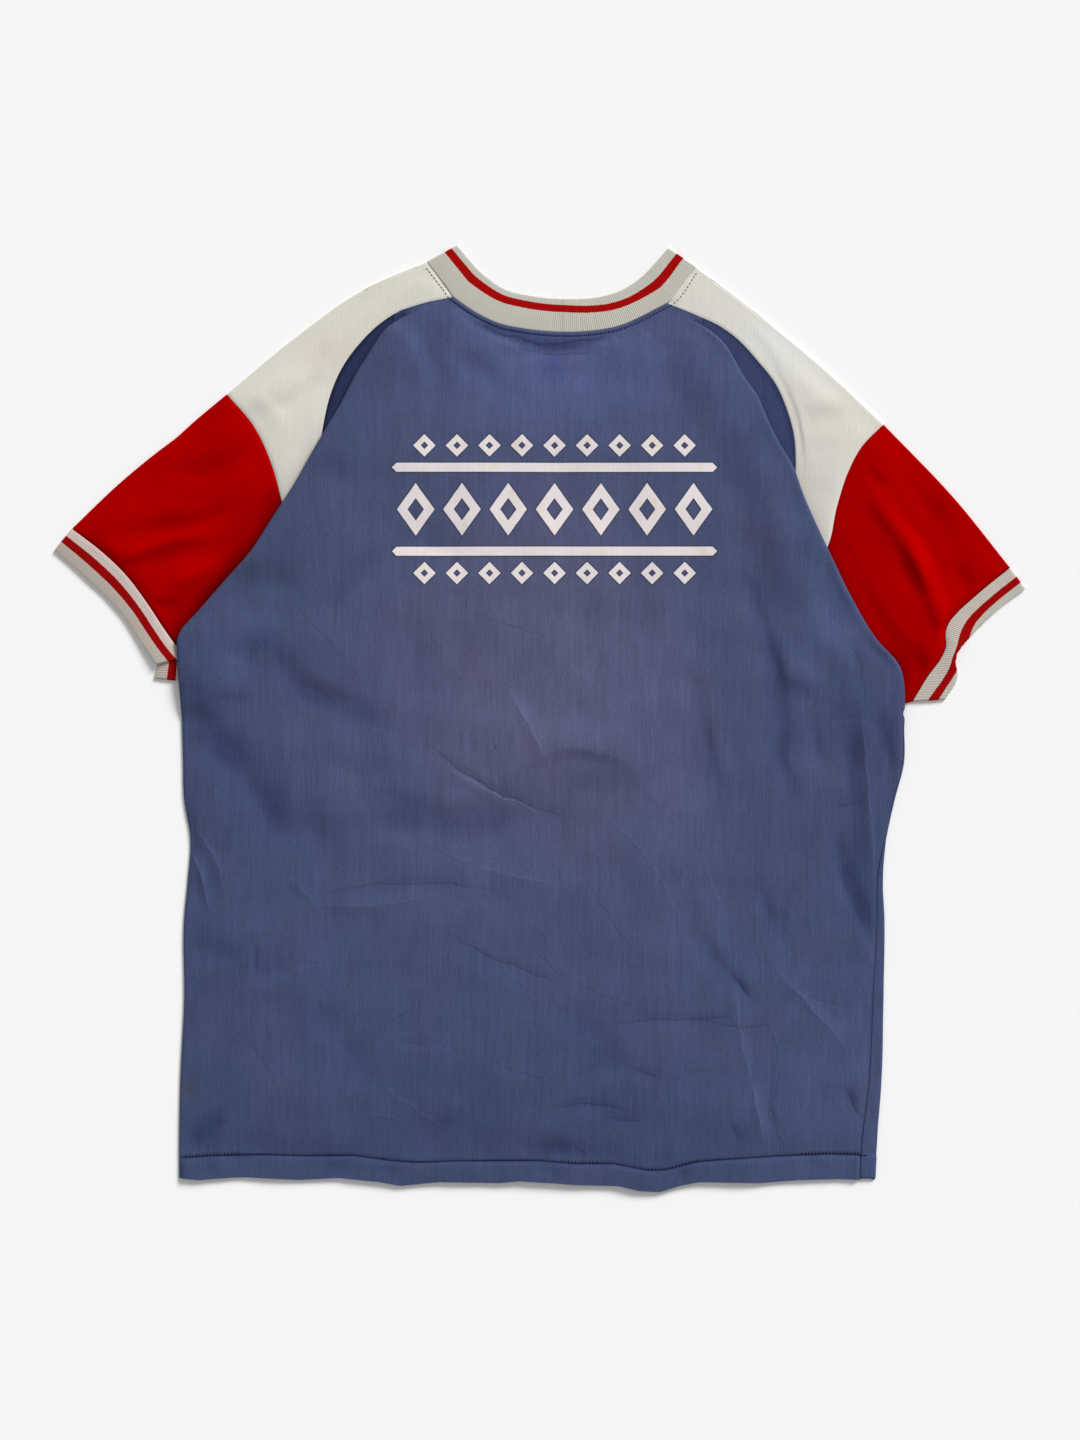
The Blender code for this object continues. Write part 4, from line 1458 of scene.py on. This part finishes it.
ribLooks = {
    "left_cuff": {
        "inner": (204, 188, 180), "outer": (186, 175, 165), "stripe": (148, 4, 4), "serged": 1,
        "wide": 22.6,
        "stripeAt": table("at low high", (0, 0.33, 0.62), (1, 0.33, 0.62)),
        "by": 0,
    },
    "right_cuff": {
        "inner": (200, 190, 180), "outer": (198, 193, 182), "stripe": (160, 4, 4), "serged": 0,
        "wide": 20.5,
        "stripeAt": table(
            "at low high",
            (14, 0.46, 0.8), (30, 0.5, 0.765), (77, 0.45, 0.76), (121, 0.42, 0.7),
        ),
        "by": 1,
    },
    "collar": {
        "inner": (199, 195, 184), "outer": (200, 197, 187), "stripe": (166, 6, 5), "serged": 0,
        "wide": 27,
        "stripeAt": table(
            "at low high",
            (-70, 0.59, 0.83), (-31.6, 0.62, 0.84), (20, 0.6, 0.82), (80, 0.49, 0.71),
            (103, 0.455, 0.705),
        ),
        "by": 0,
    },
}
# serging: the left cuff's overlock thread, with its two colours and that of the seam beside it.
# The band's inner and outer limits, in millimetres out from the seam, each fade over a stretch.
ribKnit = {
    "pitch": 1.5,
    "depth": 0.2,
    "ridge": 0.045,
    "joinAt": 18.8,
    "joinShade": 0.16,
    "serging": {
        "pitch": 1.7,
        "band": ((2.0, 2.5), (3.8, 4.3)),
        "seam": (0.6, 1.6),
        "ground": (170, 148, 144),
        "thread": (224, 210, 202),
        "seamColour": (226, 196, 192),
    },
    "finish": {"Roughness": 0.9, "Specular IOR Level": 0.06},
}


def ribbed(look, place, pitch):
    return look.sums("SINE", place * (2 * math.pi / pitch))


def serged(look, lengthwise, out, colour):
    serging = ribKnit["serging"]
    dots = look.step(ribbed(look, lengthwise, serging["pitch"]), -0.3, 0.6)
    inner, outer = serging["band"]
    near = look.step(out, *inner) * (1 - look.step(out, *outer))
    colour = look.mix(near * 0.55, colour, dyed(serging["ground"]))
    colour = look.mix(near * dots * 0.7, colour, dyed(serging["thread"]))
    return look.mix(1 - look.step(out, *serging["seam"]), colour, dyed(serging["seamColour"]))


def greyRib(name):
    # lengthwise: along the band. out: from its seam towards its edge. Both are in millimetres.
    rib = ribLooks[name]
    look = Look(name + "_rib", ribKnit["finish"])
    uv = look.add("ShaderNodeUVMap", {"uv_map": "cloth"}, {}).outputs[0]
    parts = look.add("ShaderNodeSeparateXYZ", {}, {0: uv})
    lengthwise, out = (Amount(look, parts.outputs[i]) * 1000 for i in (0, 1))
    stripe = look.add("ShaderNodeAttribute", {"attribute_name": "stripe"}, {}).outputs["Fac"]
    jagged = look.noise(lengthwise, out, (1.6, 1.6)) * 0.22
    stripeShare = 1 - look.step(abs(Amount(look, stripe) + jagged), 0.93, 1.07)
    ridges = ribbed(look, lengthwise, ribKnit["pitch"])
    streaks = look.noise(lengthwise, out, (2.2, 30)) * 0.16 + look.noise(lengthwise, out, (1, 1)) * 0.1
    grain = ridges * ribKnit["ridge"] + streaks + 1
    share = look.step(out / rib["wide"], 0.05, 0.95)
    colour = look.mix(share, dyed(rib["inner"]), dyed(rib["outer"]))
    if rib["serged"]:
        colour = serged(look, lengthwise, out, colour)
    colour = look.mix(stripeShare, colour, dyed(rib["stripe"]))
    if name == "collar":
        x, y = look.place()
        join = (1 - look.step(abs(x - ribKnit["joinAt"]), 0.2, 0.9)) * look.step(y, 296, 300)
        grain = grain - join * ribKnit["joinShade"]
    return look.finish(look.scaled(colour, grain), ridges * 0.5 + streaks * 2, ribKnit["depth"])


threadLooks = {"navy_thread": (18, 22, 50), "pale_thread": (226, 214, 206)}


def thread(name):
    look = Look(name, {"Roughness": 0.7, "Specular IOR Level": 0.2})
    x, y = look.place()
    twist = look.noise(x, y, (0.5, 0.5)) * 0.3 + 1
    return look.finish(look.scaled(dyed(threadLooks[name]), twist), twist, 0.1)


looks = {"blue_knit": blueKnit(), "white_knit": whiteKnit(), "red_knit": redKnit()}
looks.update({name: greyRib(name) for name in ribLooks})
looks.update({name: thread(name) for name in threadLooks})
print("materials:", len(looks))

# Each piece's sheet and half its wall, from which the stitches find how high they lie.
surfaces = []
rimWidth = 0.3
# The darkest that all shades together may be.
darkest = 0.85


def addSheet(bm, sheet, weights=None, shades=None):
    # A grid bent to a sheet of points. Its weights go to the hem's group.
    group = bm.verts.layers.deform.verify()
    shade = bm.verts.layers.float.get("shade") or bm.verts.layers.float.new("shade")
    count, across = sheet.shape[1] - 1, sheet.shape[0] - 1
    verts = bmesh.ops.create_grid(bm, x_segments=count, y_segments=across, size=1)["verts"]
    flat = np.zeros(len(verts)) if weights is None else weights.reshape(-1)
    dark = np.zeros(len(verts)) if shades is None else shades.reshape(-1).clip(max=darkest)
    for vert, place, weight, value in zip(verts, sheet.reshape(-1, 3) * mm, flat, dark):
        vert.co = place
        vert[shade] = float(value)
        if weight > 0.001:
            vert[group][0] = float(weight)
    return verts


def markRib(bm, verts, sheet, shares, rib):
    # The band's own coordinates, and how far each point lies from the middle of its stripe.
    uv, stripe = bm.loops.layers.uv["cloth"], bm.verts.layers.float["stripe"]
    middle = sheet[len(sheet) // 2]
    reach = along(middle)
    at, low, high = (column(rib["stripeAt"], key) for key in ("at", "low", "high"))
    key = sheet[0, :, rib["by"]]
    centre = np.interp(key, at, (low + high) / 2)
    half = np.interp(key, at, (high - low) / 2)
    away = ((shares[:, None] - centre) / half).reshape(-1)
    for vert, value in zip(verts, away):
        vert[stripe] = float(value)
    bm.verts.index_update()
    columns = sheet.shape[1]
    for face in bm.faces:
        for loop in face.loops:
            row, place = divmod(loop.vert.index, columns)
            loop[uv].uv = (reach[place] * mm, shares[row] * rib["wide"] * mm)


def made(name, bm, material):
    # An object of a finished mesh, in the scene.
    mesh = bpy.data.meshes.new(name)
    bm.to_mesh(mesh)
    bm.free()
    mesh.materials.append(material)
    piece = bpy.data.objects.new(name, mesh)
    scene.collection.objects.link(piece)
    return piece


def clothPiece(node, bm, look, walls):
    # An open sheet, welded, smoothed and given its wall. walls: the plain and the hem's thickness.
    bmesh.ops.remove_doubles(bm, verts=bm.verts, dist=weldDistance)
    bmesh.ops.recalc_face_normals(bm, faces=bm.faces)
    for face in bm.faces:
        face.smooth = True
    surfaces.append((BVHTree.FromBMesh(bm), walls[0] / 2))
    piece = made(node + "_cloth", bm, looks[look])
    piece.vertex_groups.new(name="hem")
    solid = piece.modifiers.new("wall", "SOLIDIFY")
    solid.thickness = max(walls) * mm
    solid.offset = 0
    solid.use_quality_normals = True
    if len(walls) > 1:
        solid.vertex_group = "hem"
        solid.thickness_vertex_group = min(walls) / max(walls)
    rim = piece.modifiers.new("soft edges", "BEVEL")
    rim.limit_method = "ANGLE"
    rim.angle_limit = math.radians(60)
    rim.width = rimWidth * mm
    rim.segments = 2
    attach(piece, "root")
    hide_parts(node)
    faces = piece.data.polygons
    area = sum(face.area for face in faces)
    print("%s: %d faces, %.4f square metres" % (piece.name, len(faces), area))
    return piece


def plainPiece(node, sheet, shades, look, slot):
    bm = bmesh.new()
    addSheet(bm, sheet, None, shades)
    return clothPiece(node, bm, look, [backPanel["wall"]])


def ribPiece(node, sheet, shares):
    bm = bmesh.new()
    bm.loops.layers.uv.new("cloth")
    bm.verts.layers.float.new("stripe")
    verts = addSheet(bm, sheet)
    markRib(bm, verts, sheet, shares, ribLooks[node])
    return clothPiece(node, bm, node, [ribWall])


def panelPiece(node, sheets, weights, shades):
    bm = bmesh.new()
    for sheet, weight, shade in zip(sheets, weights, shades):
        addSheet(bm, sheet, weight, shade)
    return clothPiece(node, bm, "blue_knit", [backPanel["wall"], backPanel["hemWall"]])


panelPiece("back_panel", *([part] for part in backSheet()))
panelPiece("front_panel", *frontSheets(), [None, None])
for side, arm, whiteCreases, redCreases in (
    ("left", leftArm, leftShoulderCreases, leftSleeveCreases),
    ("right", rightArm, rightShoulderCreases, rightSleeveCreases),
):
    white, red = shoulderSheet(arm, whiteCreases), sleeveSheet(arm, redCreases)
    plainPiece(side + "_shoulder", *white, "white_knit", "white_knit")
    side + "Shoulder"
    plainPiece(side + "_sleeve", *red, "red_knit", "red_knit")
    side + "Sleeve"
ribPiece("left_cuff", *leftCuffSheet())
ribPiece("right_cuff", *rightCuffSheet())
ribPiece("collar", *collarSheet())


def topAt(place):
    # The height of the uppermost cloth at a point of the plan, in metres.
    down = Vector((0, 0, -1))
    start = Vector((place[0] * mm, place[1] * mm, 0.05))
    found = [(tree.ray_cast(start, down)[0], half) for tree, half in surfaces]
    return max((hit.z + half * mm for hit, half in found if hit), default=0)


def stitchesAlong(path, pitch, aside, turn):
    # The middle and bearing of stitches at equal steps along a path, set aside to its right.
    total = along(path)[-1]
    count = max(2, int(total / pitch))
    shares = (np.arange(count) + 0.5) / count
    spots = lineAt(path, shares)
    ways = lineAt(path, np.minimum(shares + 0.002, 1)) - lineAt(path, np.maximum(shares - 0.002, 0))
    ways = ways / np.linalg.norm(ways, axis=1, keepdims=True)
    spots = spots + aside * np.stack([ways[:, 1], -ways[:, 0]], axis=-1)
    return [(spot, math.atan2(way[1], way[0]) + turn) for spot, way in zip(spots, ways)]


def stitchPiece(row):
    # A line of stitches as small grains that sink a little into the cloth.
    bm = bmesh.new()
    shape = Matrix.Diagonal((*(value * mm for value in row["size"]), 1))
    above = row["size"][2] * 0.12 + row["lift"]
    stitches = [
        (spot, bearing)
        for spot, bearing in stitchesAlong(row["path"], row["pitch"], row["aside"], row["turn"])
        if not row["within"] or any(low < spot[0] < high for low, high in row["within"])
    ]
    for middle, bearing in stitches:
        place = Vector((middle[0] * mm, middle[1] * mm, topAt(middle) + above * mm))
        turned = Matrix.Translation(place) @ Matrix.Rotation(bearing, 4, "Z") @ shape
        bmesh.ops.create_uvsphere(bm, u_segments=6, v_segments=4, radius=0.5, matrix=turned)
    for face in bm.faces:
        face.smooth = True
    piece = made(row["name"], bm, looks[row["look"]])
    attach(piece, "root")
    print("%s: %d stitches" % (row["name"], len(stitches)))
    return piece


hemStart, hemEnd = hem["stitchEnds"]
hemInner = [spot for spot in hem["stitch"] if hemStart[0] < spot[0] < hemEnd[0]]
hemPath = np.array([hemStart, *hemInner, hemEnd], float)
crosswise = math.pi / 2
# within: the stretches where the stitches show, or everywhere. lift: how far they stand out.
stitchRows = table(
    "name path pitch aside turn size lift look slot within",
    (
        "collar_stitches", collarLine[1:-1], 3.1, 3.4, 0, (2.4, 0.8, 0.5), 0,
        "navy_thread", "blue_knit", [],
    ),
    (
        "hem_stitches", hemPath, 2.8, 0, 0, (3.2, 1.4, 0.7), 0.25,
        "navy_thread", "blue_knit", [],
    ),
    (
        "hem_ticks", hemPath, 2.8, -1.2, crosswise, (2.6, 0.7, 0.5), 0.25,
        "navy_thread", "blue_knit", [(-284, -238), (-126, -120), (16, 48), (80, 128), (208, 256)],
    ),
    (
        "cuff_stitches", line(leftCuff["seam"][:-1], 40), 1.7, 3.1, crosswise, (1.7, 0.7, 0.4), 0,
        "pale_thread", "grey_rib", [],
    ),
)
stitches = {row["name"]: stitchPiece(row) for row in stitchRows}

studio = {
    "floorSize": 60,
    "floorColour": (1, 1, 1, 1),
    "cameraHeight": 2.403,
    "pictureMiddle": (0.0004, -0.0004),
    "lens": 75,
    "sensor": 36,
    "keyPlace": (1.4, 1.8, 1.3),
    "keySpread": 22,
    "keyPower": 3.3,
    "world": 0.4,
}


def makeFloor():
    bm = bmesh.new()
    bmesh.ops.create_grid(bm, x_segments=1, y_segments=1, size=studio["floorSize"] / 2)
    look = Look("floor", {"Roughness": 0.9, "Specular IOR Level": 0.0})
    look.join(studio["floorColour"], look.shader.inputs["Base Color"])
    made("floor", bm, look.material)


def makeLights():
    data = bpy.data.lights.new("key", "SUN")
    data.energy = studio["keyPower"]
    data.angle = math.radians(studio["keySpread"])
    key = bpy.data.objects.new("key", data)
    key.location = studio["keyPlace"]
    key.rotation_euler = (-Vector(studio["keyPlace"])).to_track_quat("-Z", "Y").to_euler()
    scene.collection.objects.link(key)
    world = bpy.data.worlds.new("studio")
    world.use_nodes = True
    world.node_tree.nodes["Background"].inputs["Color"].default_value = (1, 1, 1, 1)
    world.node_tree.nodes["Background"].inputs["Strength"].default_value = studio["world"]
    scene.world = world


def makeCamera():
    data = bpy.data.cameras.new("camera")
    data.lens = studio["lens"]
    data.sensor_width = studio["sensor"]
    camera = bpy.data.objects.new("camera", data)
    camera.location = (*studio["pictureMiddle"], studio["cameraHeight"])
    scene.collection.objects.link(camera)
    scene.camera = camera


makeFloor()
makeLights()
makeCamera()
scene.view_settings.view_transform = "Standard"
scene.view_settings.look = "None"
print("studio ready")
